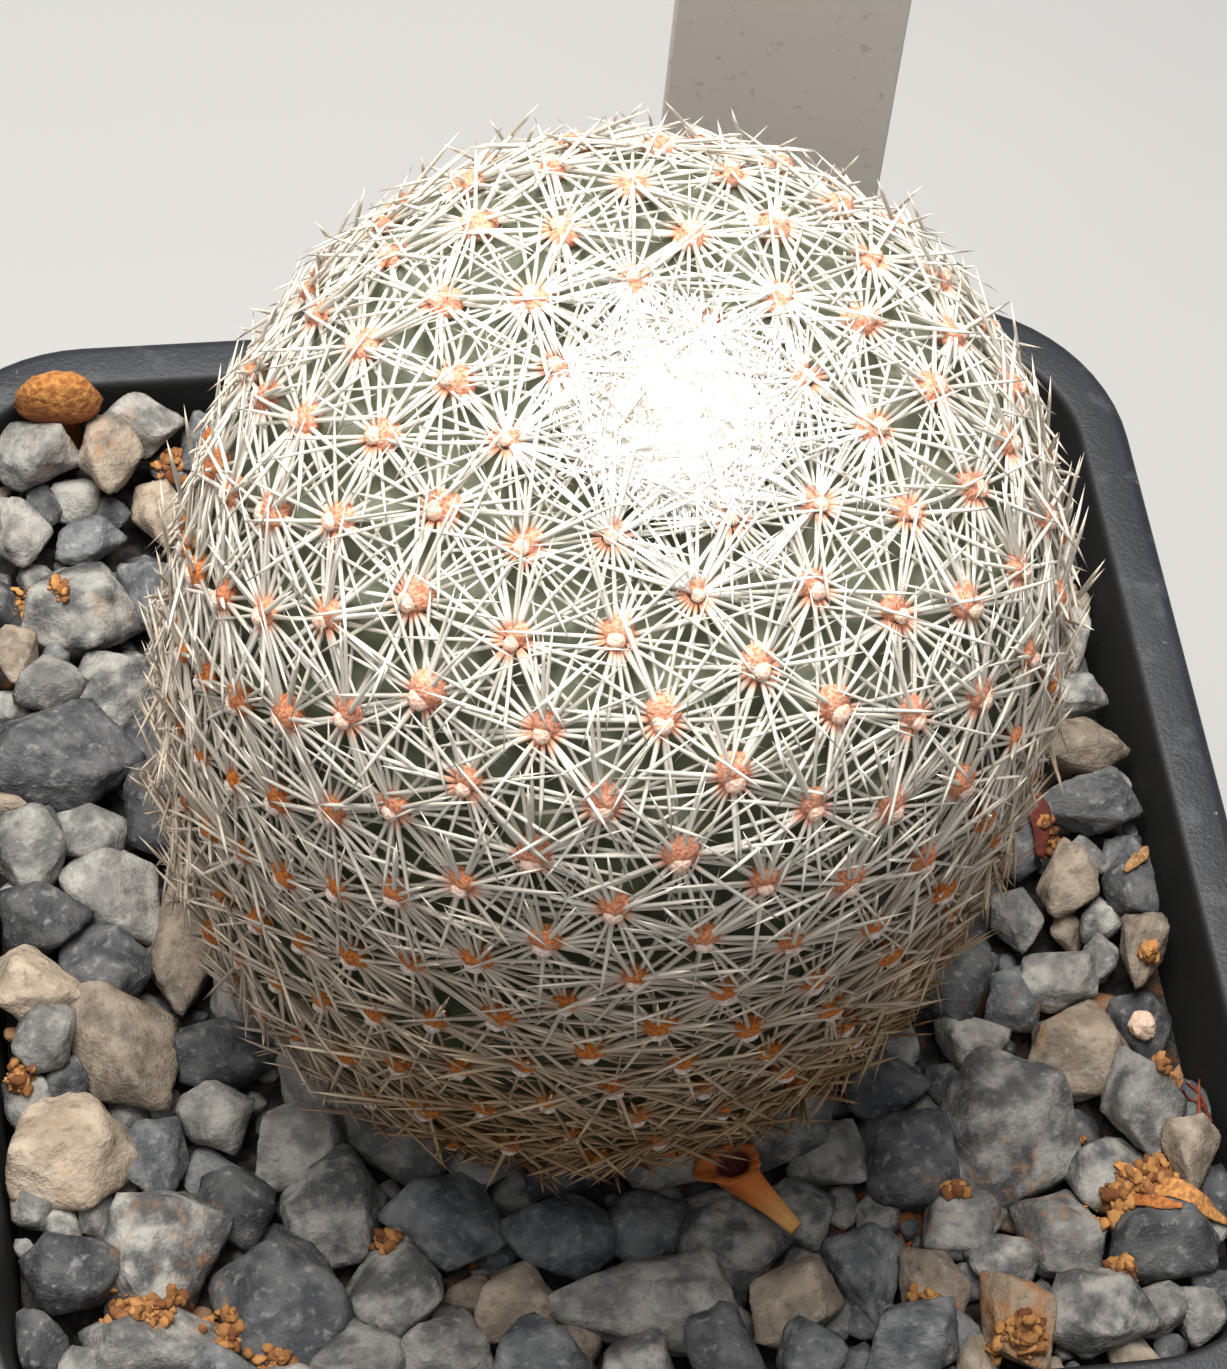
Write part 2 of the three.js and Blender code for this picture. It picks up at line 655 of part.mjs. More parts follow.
// Room that the lower body and spines keep free over the gravel
function plantRoom(frames) {
  const low = [];
  for (const frame of frames) {
    for (const point of [frame.seat, ...frame.tips]) {
      if (point && point.z < BODY_FOOT_Z + 14) low.push(point.clone());
    }
  }
  for (const point of roundRing(NECK_RADIUS + 1.2, BODY_FOOT_Z + 0.2, 16, CACTUS_X, CACTUS_Y)) {
    low.push(lean(point));
  }
  for (const point of low) {
    const away = new THREE.Vector3(point.x - CACTUS_X, point.y - CACTUS_Y, 0).setLength(GAP + 0.1);
    point.add(away);
    point.z -= GAP + 0.1;
  }
  return solidOf(new ConvexGeometry(low));
}

// Spent flower: a dry tube fallen on the gravel, with a blind mouth and a thin end
function spentFlower(margin = 0) {
  const axis = FLOWER_TIP.clone().sub(FLOWER_MOUTH);
  const length = axis.length();
  axis.normalize();
  const side = new THREE.Vector3(-axis.y, axis.x, 0).normalize();
  const lift = new THREE.Vector3().crossVectors(axis, side);
  const ring = (along, radius) => {
    const middle = FLOWER_MOUTH.clone().addScaledVector(axis, along);
    middle.z += 0.5 * Math.sin(Math.PI * along / length);
    return Array.from({ length: 10 }, (_, k) => {
      const angle = k * Math.PI / 5;
      return middle.clone()
        .addScaledVector(side, radius * Math.cos(angle))
        .addScaledVector(lift, radius * 0.8 * Math.sin(angle));
    });
  };
  const mouth = [ring(1.5, 0.4), ring(0.3, 0.75), ring(0, 0.9)];
  const outside = [[0, 1.15], [0.9, 1.35], [2.2, 1.2], [3.9, 0.75], [length, 0.35]];
  const skin = outside.map(([along, radius]) => ring(along, radius + margin));
  if (margin === 0) return ringStack([...mouth, ...skin]);
  return ringStack([ring(-margin, 1.15), ...skin, ring(length + margin, 0.35)]);
}

// Bark chip: a rough cap on a narrower foot, wedged between stones by the rim
function barkChip(margin = 0) {
  const random = randomSource(77);
  const levels = [[-7.3, 0.8], [-2.6, 1], [-1.3, 1.5], [-0.9, 2.15], [0.4, 2.1], [1.3, 1.1]];
  return ringStack(levels.map(([height, radius]) => roundRing(1, 0, 10).map((point) => {
    const reach = radius * mix(0.86, 1.06, random()) + margin;
    const end = height < -7 ? margin : 0;
    return new THREE.Vector3(point.x * reach, point.y * reach * 0.74, height - end).add(CHIP_PLACE);
  })));
}

// Perlite grain: one pale crumb lying on a stone
function perliteGrain(margin = 0) {
  const random = randomSource(31);
  return ringStack([[-0.75, 0.35], [-0.2, 0.85], [0.4, 0.7], [0.75, 0.25]].map(([height, radius]) => (
    roundRing(1, 0, 8).map((point) => {
      const reach = radius * mix(0.8, 1.1, random()) + margin;
      return new THREE.Vector3(point.x * reach, point.y * reach, height * (1 + margin)).add(GRAIN_PLACE);
    })
  )));
}

// Gravel: a bed of stones held together as one layer round the plant
function gravelGeometry(frames, bits) {
  const limit = solidOf(ringStack([innerRing(SOIL_TOP, GAP), innerRing(RIM_Z, GAP)]));
  const bed = solidOf(ringStack([innerRing(SOIL_TOP, GAP), innerRing(BED_TOP, GAP)]));
  const stones = stonePlaces().map(stoneSolid);
  const hole = solidOf(ringStack([
    roundRing(NECK_RADIUS + GAP, SOIL_TOP - 1, 22, CACTUS_X, CACTUS_Y),
    roundRing(NECK_RADIUS + GAP, BED_TOP - 1, 22, CACTUS_X, CACTUS_Y),
    roundRing(NECK_RADIUS + 2 * GAP, RIM_Z, 22, CACTUS_X, CACTUS_Y),
  ]));
  let solid = wasm.Manifold.union([bed, ...stones]).intersect(limit);
  solid = solid.subtract(hole).subtract(labelSlot()).subtract(plantRoom(frames));
  for (const bit of bits) solid = solid.subtract(bit);
  for (let pass = 0; pass < 2; pass += 1) {
    solid = largestBody(solidOf(geometryOf(solid))).asOriginal().simplify(SMALLEST_FACET);
  }
  return geometryOf(largestBody(solid));
}

// Assembly
const frames = cushionFrames();
growSpines(frames);

const looseBits = [spentFlower, barkChip, perliteGrain];

function finish(color, roughness, flatShading = false) {
  return new THREE.MeshStandardMaterial({ color, roughness, metalness: 0, flatShading });
}

const materials = {
  pot: finish(0x3b3e45, 0.62),
  soil: finish(0x3a2a1e, 1),
  gravel: finish(0x8d9094, 0.85, true),
  cactus: finish(0xd9d0b8, 0.8, true),
  label: finish(0xc9c5bd, 0.5),
  flower: finish(0xb8742c, 0.8),
  bark: finish(0xb4703a, 0.95),
  perlite: finish(0xe6cdb6, 0.9),
};

function part(name, geometry, material) {
  const mesh = new THREE.Mesh(geometry, material);
  mesh.name = name;
  return mesh;
}

const label = part('plant_label', labelGeometry(), materials.label);
label.position.copy(LABEL_PLACE);

const pottedCactus = new THREE.Group();
pottedCactus.add(
  part('pot', potGeometry(), materials.pot),
  part('soil', soilGeometry(), materials.soil),
  part('gravel', gravelGeometry(frames, looseBits.map((bit) => solidOf(bit(GAP)))), materials.gravel),
  part('cactus', cactusGeometry(frames), materials.cactus),
  label,
  part('spent_flower', spentFlower(), materials.flower),
  part('bark_chip', barkChip(), materials.bark),
  part('perlite_grain', perliteGrain(), materials.perlite),
);

export default pottedCactus;
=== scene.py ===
import math

import bmesh
import bpy
import numpy as np
from mathutils import Matrix, Vector, kdtree, noise
from mathutils.bvhtree import BVHTree


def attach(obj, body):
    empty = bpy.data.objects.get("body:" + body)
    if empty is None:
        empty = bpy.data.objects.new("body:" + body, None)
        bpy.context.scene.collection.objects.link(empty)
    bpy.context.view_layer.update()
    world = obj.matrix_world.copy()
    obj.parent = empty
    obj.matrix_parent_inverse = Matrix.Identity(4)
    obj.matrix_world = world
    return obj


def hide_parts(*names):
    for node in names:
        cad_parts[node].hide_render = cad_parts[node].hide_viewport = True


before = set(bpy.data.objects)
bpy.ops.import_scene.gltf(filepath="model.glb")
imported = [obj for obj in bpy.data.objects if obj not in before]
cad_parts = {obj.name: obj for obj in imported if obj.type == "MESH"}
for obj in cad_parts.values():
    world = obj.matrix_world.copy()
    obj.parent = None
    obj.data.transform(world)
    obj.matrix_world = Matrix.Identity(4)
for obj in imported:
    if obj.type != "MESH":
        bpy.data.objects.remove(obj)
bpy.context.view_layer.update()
MM = 0.001

# Studio: a plain pale floor under soft light from above, a little behind the pot.
# The camera looks down on the pot from the front left and is held slightly askew.
CAMERA_PLACE = (-27.1, -100.3, 235.4)
CAMERA_TURN = -15.2
CAMERA_DOWN = 56.26
CAMERA_ROLL = 8.87
CAMERA_LENS = 99
FILM_SIDE = 36
FLOOR_HALF = 900
FLOOR_Z = -0.05
AIR_TONE = (0.93, 0.96, 1, 1)
AIR_STRENGTH = 0.24


class Link:
    """One output of a node, which can be reckoned with like a number."""

    def __init__(self, graph, socket):
        self.graph = graph
        self.socket = socket

    def out(self, name):
        return Link(self.graph, self.socket.node.outputs[name])

    def part(self, axis):
        return self.graph.add("ShaderNodeSeparateXYZ", values={0: self}, output=axis)

    def math(self, operation, *others):
        return self.graph.add("ShaderNodeMath", {"operation": operation}, dict(enumerate((self, *others))))

    def vector(self, operation, other=None):
        """Vector maths. A length or a distance comes out as a number."""
        values = {0: self}
        if other is not None:
            values[3 if operation == "SCALE" else 1] = other
        output = 1 if operation in ("LENGTH", "DISTANCE") else 0
        return self.graph.add("ShaderNodeVectorMath", {"operation": operation}, values, output)

    def __add__(self, other):
        return self.math("ADD", other)

    def __sub__(self, other):
        return self.math("SUBTRACT", other)

    def __mul__(self, other):
        return self.math("MULTIPLY", other)

    def __truediv__(self, other):
        return self.math("DIVIDE", other)

    def __rsub__(self, other):
        return self.graph.add("ShaderNodeMath", {"operation": "SUBTRACT"}, {0: other, 1: self})

    __radd__ = __add__
    __rmul__ = __mul__


class Graph:
    """A node tree that is filled one node at a time. Its colours are levels on a screen."""

    def add(self, kind, settings=None, values=None, output=0):
        node = self.tree.nodes.new(kind)
        for name, value in (settings or {}).items():
            setattr(node, name, value)
        for key, value in (values or {}).items():
            socket = node.inputs[key]
            if isinstance(value, Link):
                self.tree.links.new(value.socket, socket)
            elif socket.type == "RGBA":
                socket.default_value = (*paint(*value), 1)
            else:
                socket.default_value = value
        return Link(self, node.outputs[output])

    def xyz(self, x=0, y=0, z=0):
        return self.add("ShaderNodeCombineXYZ", values={0: x, 1: y, 2: z})


class Finish(Graph):
    """A material on one shader, with the object's own coordinates as its place."""

    def __init__(self, name, **fixed):
        self.material = bpy.data.materials.new(name)
        self.material.use_nodes = True
        self.tree = self.material.node_tree
        self.shader = self.tree.nodes["Principled BSDF"]
        for key, value in fixed.items():
            self.shader.inputs[key].default_value = value
        self.place = self.add("ShaderNodeTexCoord", output="Object")

    def noise(self, size, detail=2, place=None):
        values = {"Vector": place or self.place, "Scale": 1 / (size * MM), "Detail": detail}
        return self.add("ShaderNodeTexNoise", values=values)

    def attribute(self, name, output="Fac"):
        return self.add("ShaderNodeAttribute", {"attribute_name": name}, output=output)

    def step(self, value, low, high):
        settings = {"interpolation_type": "SMOOTHSTEP"}
        return self.add("ShaderNodeMapRange", settings, {0: value, 1: low, 2: high})

    def spots(self, size, detail, low, high):
        """Noise that is cut to spots with soft edges."""
        return self.step(self.noise(size, detail), low, high)

    def mix(self, share, first, second):
        return self.add("ShaderNodeMix", {"data_type": "RGBA"}, {0: share, 6: first, 7: second}, 2)

    def height(self):
        return self.place.part("Z")

    def relief(self, height, depth):
        bump = self.add("ShaderNodeBump", values={"Height": height, "Distance": depth * MM})
        self.surface("Normal", bump)

    def surface(self, name, link):
        self.tree.links.new(link.socket, self.shader.inputs[name])

    def colour(self, link):
        self.surface("Base Color", link)


def paint(*levels):
    """A colour given by its red, green and blue as they show on a screen, 0 to 255."""
    shares = [level / 255 for level in levels]
    return tuple(v / 12.92 if v <= 0.04045 else ((v + 0.055) / 1.055) ** 2.4 for v in shares)


def show(name, mesh):
    piece = bpy.data.objects.new(name, mesh)
    bpy.context.scene.collection.objects.link(piece)
    return piece


def mesh_piece(name, points, faces, smooth=True):
    """A mesh object at the origin from points in millimetres."""
    mesh = bpy.data.meshes.new(name)
    mesh.from_pydata((np.asarray(points, dtype=float) * MM).tolist(), [], faces)
    if smooth:
        mesh.shade_smooth()
    mesh.update()
    return show(name, mesh)


def dress(piece, finish):
    piece.data.materials.clear()
    piece.data.materials.append(finish.material)


def soft_light(name, place, target, side, power, colour):
    lamp = bpy.data.lights.new(name, "AREA")
    lamp.shape = "DISK"
    lamp.size = side * MM
    lamp.energy = power
    lamp.color = colour
    light = show(name, lamp)
    light.location = Vector(place) * MM
    light.rotation_euler = (Vector(target) - Vector(place)).to_track_quat("-Z", "Y").to_euler()


floor_finish = Finish("floor_paint", Roughness=0.9)
floor_finish.colour(floor_finish.mix(floor_finish.noise(90, 3), (188, 187, 185), (196, 195, 193)))
floor_corners = [(x * FLOOR_HALF, y * FLOOR_HALF, FLOOR_Z) for x, y in ((-1, -1), (1, -1), (1, 1), (-1, 1))]
studio_floor = mesh_piece("studio_floor", floor_corners, [(0, 1, 2, 3)])
dress(studio_floor, floor_finish)

soft_light("window", (-22, 40, 330), (0, 0, 90), 200, 1.3, (1, 0.965, 0.92))
soft_light("sky", (-60, -50, 430), (0, 0, 60), 420, 0.68, (0.97, 0.98, 1))
world = bpy.data.worlds.new("studio")
world.use_nodes = True
world.node_tree.nodes["Background"].inputs["Color"].default_value = AIR_TONE
world.node_tree.nodes["Background"].inputs["Strength"].default_value = AIR_STRENGTH
bpy.context.scene.world = world
bpy.context.scene.view_settings.view_transform = "Standard"

film = bpy.data.cameras.new("camera")
film.sensor_fit = "VERTICAL"
film.sensor_height = FILM_SIDE
film.lens = CAMERA_LENS
camera = show("camera", film)
turn = Matrix.Rotation(math.radians(CAMERA_TURN), 4, "Z")
tilt = Matrix.Rotation(math.radians(90 - CAMERA_DOWN), 4, "X")
roll = Matrix.Rotation(math.radians(CAMERA_ROLL), 4, "Z")
camera.matrix_world = Matrix.Translation(Vector(CAMERA_PLACE) * MM) @ turn @ tilt @ roll
bpy.context.scene.camera = camera

# Pot: a square nursery pot, moulded in one thin wall of charcoal plastic.
# It has a flat rim with a skirt turned down round it and eight drain holes in its base.
RIM_SIDE = 70
RIM_Z = 65
RIM_WIDTH = 3
RIM_CORNER = 10.6
RIM_THICKNESS = 1.1
SKIRT_DEPTH = 6
# How far past the pot's hollow the painted shade of the inner wall fades out, in millimetres
INNER_SHADE_SPAN = (0.05, 0.5)
WALL = 0.9
BASE_THICKNESS = 1.5
BASE_SIDE = 50
BASE_CORNER = 7.5
FOOT_CHAMFER = 2
DRAINS = 8
DRAIN_RADIUS = 2.6
DRAIN_OFFSET = 15.5


def mix(a, b, share):
    return a + (b - a) * share


def up_the_wall(z):
    return (z - BASE_THICKNESS) / (RIM_Z - BASE_THICKNESS)


def inner_side(z):
    return mix(BASE_SIDE - 2 * WALL, RIM_SIDE - 2 * RIM_WIDTH, up_the_wall(z))


def inner_corner(z):
    return mix(BASE_CORNER - WALL, RIM_CORNER - RIM_WIDTH, up_the_wall(z))


def rounded_square(half, corner, z, steps=14):
    """One level ring with round corners, as points that run anticlockwise."""
    ring = []
    for quarter in range(4):
        diagonal = (quarter + 0.5) * math.pi / 2
        x = math.sqrt(2) * (half - corner) * math.cos(diagonal)
        y = math.sqrt(2) * (half - corner) * math.sin(diagonal)
        for step in range(steps + 1):
            angle = (quarter + step / steps) * math.pi / 2
            ring.append((x + corner * math.cos(angle), y + corner * math.sin(angle), z))
    return ring


def loft(name, rings, closed=False):
    """A skin through rings of equal count. It closes on itself or ends in a point in each end ring."""
    count = len(rings[0])
    points = [point for ring in rings for point in ring]
    faces = []
    for band in range(len(rings) if closed else len(rings) - 1):
        low = band * count
        high = (band + 1) % len(rings) * count
        for i in range(count):
            j = (i + 1) % count
            faces.append((low + i, low + j, high + j, high + i))
    if not closed:
        for ring, start in ((rings[0], 0), (rings[-1], (len(rings) - 1) * count)):
            points.append(np.mean(ring, axis=0))
            middle = len(points) - 1
            for i in range(count):
                j = (i + 1) % count
                faces.append((middle, start + j, start + i) if start == 0 else (middle, start + i, start + j))
    return mesh_piece(name, points, faces)


def eased(profile, steps=4):
    """Rounds the bends of a profile. A row is half width, corner, height and the size of its rounding."""
    rows = []
    for i, (half, corner, z, size) in enumerate(profile):
        here = np.array((half, corner, z))
        if size == 0:
            rows.append(here)
            continue
        arms = []
        for other in (profile[i - 1], profile[i + 1]):
            arm = np.array(other[:3]) - here
            arms.append(here + arm * size / math.hypot(arm[0], arm[2]))
        for step in range(steps + 1):
            t = step / steps
            rows.append((1 - t) ** 2 * arms[0] + 2 * t * (1 - t) * here + t * t * arms[1])
    return rows


def settle(piece):
    """Makes what the modifiers of a piece show its own mesh."""
    scene_graph = bpy.context.evaluated_depsgraph_get()
    evaluated = piece.evaluated_get(scene_graph)
    mesh = bpy.data.meshes.new_from_object(evaluated, preserve_all_data_layers=True, depsgraph=scene_graph)
    piece.modifiers.clear()
    piece.data = mesh


def cut(piece, *tools):
    for tool in tools:
        modifier = piece.modifiers.new("cut", "BOOLEAN")
        modifier.object = tool
        modifier.solver = "EXACT"
    settle(piece)
    for tool in tools:
        bpy.data.objects.remove(tool)


def round_ring(radius, z, count, x=0, y=0):
    angles = [i / count * 2 * math.pi for i in range(count)]
    return [(x + radius * math.cos(a), y + radius * math.sin(a), z) for a in angles]


def fit(piece, finish, node):
    """Gives a piece its finish, and has it stand for a node of the plain model."""
    dress(piece, finish)
    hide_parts(node)
    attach(piece, "root")


under_rim = RIM_Z - RIM_THICKNESS
skirt_end = RIM_Z - SKIRT_DEPTH
rim_half = RIM_SIDE / 2
pot_profile = [
    (BASE_SIDE / 2 - FOOT_CHAMFER, BASE_CORNER - FOOT_CHAMFER, 0, 0),
    (BASE_SIDE / 2, BASE_CORNER, 0, 0.8),
    (inner_side(under_rim) / 2 + WALL, inner_corner(under_rim) + WALL, under_rim, 0.5),
    (rim_half - WALL, RIM_CORNER - WALL, under_rim, 0.5),
    (rim_half - WALL, RIM_CORNER - WALL, skirt_end, 0.25),
    (rim_half, RIM_CORNER, skirt_end, 0.3),
    (rim_half, RIM_CORNER, RIM_Z, 0.75),
    (rim_half - RIM_WIDTH, RIM_CORNER - RIM_WIDTH, RIM_Z, 0.45),
    (BASE_SIDE / 2 - WALL, BASE_CORNER - WALL, BASE_THICKNESS, 0.6),
    (BASE_SIDE / 2 - WALL - FOOT_CHAMFER, BASE_CORNER - WALL - FOOT_CHAMFER, BASE_THICKNESS, 0),
]
pot = loft("moulded_pot", [rounded_square(*row) for row in eased(pot_profile)])
drains = []
for i, (x, y, _) in enumerate(round_ring(1, 0, DRAINS)):
    middle = (round(x) * DRAIN_OFFSET, round(y) * DRAIN_OFFSET)
    ends = [round_ring(DRAIN_RADIUS, z, 28, *middle) for z in (-1, BASE_THICKNESS + 1)]
    drains.append(loft(f"drain_{i}", ends))
cut(pot, *drains)
pot.data.set_sharp_from_angle(angle=math.radians(35))

plastic = Finish("charcoal_plastic", Roughness=0.5, IOR=1.5)
cloud = plastic.noise(7, 3)
dust = plastic.spots(0.5, 4, 0.66, 0.74) * plastic.spots(5, 2, 0.42, 0.62)
tone = plastic.mix(cloud, (29, 32, 36), (42, 45, 50))
tone = plastic.mix(plastic.spots(2.5, 5, 0.56, 0.7) * 0.3, tone, (90, 94, 98))
tone = plastic.mix(dust * 0.7, tone, (142, 138, 130))
# Painted shade: the inner wall and floor, what lies less than half a millimetre outside the pot's hollow, are
# coloured near black
place_mm = plastic.place.vector("SCALE", 1 / MM)
height = place_mm.part("Z")
straight = inner_side(height) / 2 - inner_corner(height)
outward = place_mm.vector("ABSOLUTE").vector("SUBTRACT", plastic.xyz(straight, straight, 2 * RIM_Z))
outward = outward.vector("MAXIMUM", (0, 0, 0)).vector("LENGTH") - inner_corner(height)
over_base = plastic.step(height, BASE_THICKNESS - 1, BASE_THICKNESS - 0.1)
inside = (1 - plastic.step(outward, *INNER_SHADE_SPAN)) * over_base
# The inside of the pot takes its painted shade here.
plastic.colour(plastic.mix(inside, tone, (5, 5, 5)))
plastic.surface("Roughness", plastic.step(cloud + dust, 0, 1.6) * 0.3 + inside * 0.3 + 0.4)
plastic.relief(plastic.noise(0.22) + cloud * 0.5, 0.035)
fit(pot, plastic, "pot")

# Soil: the gritty brown mix that fills the pot under the top dressing.
# It is poured in round the root and the label, and shows only at the drain holes.
soil = Finish("cactus_soil", Roughness=0.95)
crumb = soil.noise(1.6, 5)
soil_tone = soil.mix(soil.step(crumb, 0.35, 0.65), (44, 30, 20), (98, 70, 46))
soil.colour(soil.mix(soil.spots(0.9, 2, 0.64, 0.7), soil_tone, (158, 140, 116)))
soil.relief(crumb, 0.9)
dress(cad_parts["soil"], soil)

# Gravel: a top dressing of washed chips, grey, slate and beige, poured in and pressed level.
# The bigger chips lie where they are seen to lie, and a seeded rule fills in round them.
GAP = 0.3
SOIL_TOP = RIM_Z - 12
BED_TOP = RIM_Z - 5.8
PLANT_X = -1.9
PLANT_Y = 1.2
FOOT_Z = 60.2
PLANT_LEAN = math.radians(12.2)
BODY_RADIUS = 19.8
UPPER_HEIGHT = 37.8
UPPER_POWER = 3.5
LOWER_HEIGHT = 19.1
LOWER_POWER = 2.15
NECK_RADIUS = 11
LABEL_WIDTH = 12
LABEL_X = 11.2
LABEL_Y = 23.4
GOLDEN_ANGLE = math.pi * (3 - math.sqrt(5))

# A kind of stone: its colour, the colour of its clouds, and how much of it they cover
STONE_KINDS = {
    "grey": (paint(96, 95, 92), paint(158, 155, 148), 0.9),
    "pale": (paint(122, 119, 114), paint(184, 180, 171), 0.9),
    "mottled": (paint(82, 82, 81), paint(172, 169, 161), 0.95),
    "slate": (paint(74, 77, 80), paint(128, 129, 129), 0.85),
    "dark": (paint(52, 54, 57), paint(102, 102, 102), 0.8),
    "beige": (paint(116, 104, 90), paint(160, 145, 127), 0.9),
    "cream": (paint(146, 130, 111), paint(178, 162, 142), 0.9),
    "rusty": (paint(140, 124, 104), paint(160, 104, 52), 0.8),
}

# The chips that stand out: kind, x, y, half length, half width, and the turn of the long side
CHOSEN_STONES = [
    ("grey", -27.4, 28.2, 2.6, 2.4, 10), ("beige", -23.4, 28, 2.6, 1.8, 80),
    ("pale", -21.6, 30, 2.6, 1.6, 170), ("cream", -20.9, 25.4, 2.6, 1.4, 85),
    ("slate", -17.8, 29.4, 2, 1.7, 60), ("pale", -28.6, 23.8, 2.1, 1.6, 90),
    ("slate", -24.9, 23.7, 2, 1.8, 20), ("mottled", -25.8, 19, 3.4, 2.9, 10),
    ("slate", -21, 19.6, 3.3, 2.1, 105), ("beige", -29.4, 16, 1.9, 1.5, 95),
    ("mottled", -24.2, 13.8, 3.3, 2.4, 70), ("dark", -27.2, 9.4, 4.2, 3.3, 165),
    ("grey", -29, 3.6, 2.6, 2, 85), ("pale", -25, 0.9, 3.4, 2.5, 120),
    ("beige", -21.4, -2.2, 4.1, 1.9, 75), ("dark", -28.6, -1, 2.8, 2, 160),
    ("cream", -29.2, -4.9, 2.6, 2.3, 165), ("beige", -25.3, -8, 4, 2.6, 120),
    ("dark", -20.2, -8.8, 3.2, 2, 165), ("cream", -28.3, -14.4, 3.6, 3.1, 15),
    ("pale", -16.7, -14.6, 3.2, 2.3, 20), ("slate", -23.9, -14.2, 2.6, 1.9, 100),
    ("mottled", -23.7, -19.7, 4, 3.3, 80), ("mottled", -15.2, -18.5, 3.3, 2.7, 40),
    ("dark", -17.9, -23.6, 4.6, 3.5, 100), ("grey", -24.3, -25.2, 4.2, 2, 175),
    ("mottled", -12.5, -23, 3.2, 2.2, 60), ("beige", -6.7, -24.6, 2.7, 2.2, 10),
    ("pale", 0.2, -25.3, 4.8, 2.9, 0), ("slate", -9.6, -19.2, 3, 2.5, 150),
    ("slate", -3.6, -20.8, 3.4, 2.4, 170), ("mottled", 4.8, -21.6, 3.3, 2.8, 160),
    ("beige", 7.1, -26, 3.1, 2, 25), ("slate", 11.6, -24, 3.2, 2.3, 95), ("grey", 11, -17.6, 2.4, 1.9, 10),
    ("beige", 14.7, -25.6, 2.3, 1.8, 90), ("mottled", 20.6, -17, 4.6, 3.9, 60),
    ("beige", 25, -12.8, 3.1, 2.7, 20), ("pale", 24.9, -8.5, 2.6, 1.8, 5),
    ("dark", 28.9, -11.4, 2.7, 1.8, 80), ("dark", 28.3, 1.4, 2.9, 1.9, 10),
    ("beige", 28.4, 5, 2.5, 1.6, 170), ("pale", 28.9, 13, 2.9, 1.9, 90), ("grey", 28.8, 8.6, 1.8, 1.6, 0),
    ("grey", 27.2, -17.2, 3.3, 2, 75), ("beige", 29.3, -19.8, 2.6, 1.6, 80),
    ("dark", 27, -24.6, 3.2, 2.6, 20), ("grey", 21.9, -23.4, 2.8, 2.2, 100),
    ("grey", 17.2, -21.8, 2.3, 2, 30), ("mottled", 22.6, -28, 3, 2.5, 10),
    ("rusty", 18.4, -28.4, 2.9, 1.8, 95), ("dark", 14.2, -13.9, 2.9, 2.1, 160),
    ("beige", 29.4, -7.6, 2.3, 1.4, 75), ("beige", 26.4, -2.9, 2.2, 1.6, 60),
    ("grey", 23.4, -4.4, 2, 1.5, 80), ("dark", 29.4, -4.2, 2, 1.4, 110),
    ("slate", 12.6, -28.9, 3, 1.9, 10), ("grey", -10.2, -27.5, 3.2, 2, 10),
]
ORDINARY_KINDS = ("grey", "mottled", "slate", "dark", "grey", "mottled", "slate", "pale", "dark", "beige")
WEDGED_KINDS = ("grey", "mottled", "slate", "dark", "slate", "grey", "beige", "dark", "mottled", "grey")
# The small chips lean to dark kinds, partly as painted shade in the crevices that they fill.
SIFTED_KINDS = ("dark", "slate", "dark", "grey", "rusty", "dark", "beige")
STONE_SIZES = ((400, 3.1), (1500, 2.35), (4000, 1.75))
STONE_LENGTH = 1.34
STONE_WIDTH = 1.12
STONE_HEIGHT = 0.34
STONE_SPACING = 0.86
STONE_SPREAD = (0.85, 1.15)
STONE_TIP = 0.5
WALL_ROOM = 1.1
STONE_RISE = 0.3
STONE_POINTS = 9
STONE_SHAPES = 12
CHIP_SWELL = 1.24 * MM
CHIP_LIFT = 0.9
CHIP_TALLEST = 2.6
CHIP_SHARE = 0.85
WALL_LIFT = 2
HIGHEST_CHIP = 64.2
WEDGED_SINK = 0.9
SIFTED_SINK = 1
FLOWER_MIDDLE = (6.8, -20)
GRAIN_MIDDLE = (28.6, -12)
BARK_MIDDLE = (-25.4, 28.6)
BARK_BANK = 1.5
BARK_BANK_SPAN = (3, 6.5)
WALL_BANK_SPAN = (-7, -2.5)
HOLLOW_SPAN = (2, 5)
SHADE_SWING = 0.16
SIFT_REACH = 31
SIFT_TIP = 0.8
SIFT_LENGTH = 1.3
SIFT_LABEL_ROOM = 0.6


def random_source(seed):
    """Repeatable random numbers from 0 to 1."""
    state = seed

    def draw():
        nonlocal state
        state = state * 16807 % 2147483647
        return state / 2147483647

    return draw


def past_straight(x, y, z):
    """The radius of the inner wall's corners, and how far a place is past its straight parts each way."""
    corner = inner_corner(z) - GAP
    straight = inner_side(z) / 2 - GAP - corner
    return corner, np.abs(x) - straight, np.abs(y) - straight


def beyond_wall(x, y, z):
    """How far a place is outside the pot's inner wall, less than nothing inside it."""
    corner, over_x, over_y = past_straight(x, y, z)
    outside = np.hypot(np.maximum(over_x, 0), np.maximum(over_y, 0))
    return outside + np.minimum(np.maximum(over_x, over_y), 0) - corner


def smooth_share(value, low, high):
    share = np.clip((value - low) / (high - low), 0, 1)
    return share * share * (3 - 2 * share)


def from_plant(x, y):
    return math.hypot(x - PLANT_X, y - PLANT_Y)


def on_label(x, y, radius, room=0):
    return abs(x - LABEL_X) < LABEL_WIDTH / 2 + radius and abs(y - LABEL_Y) < room + radius


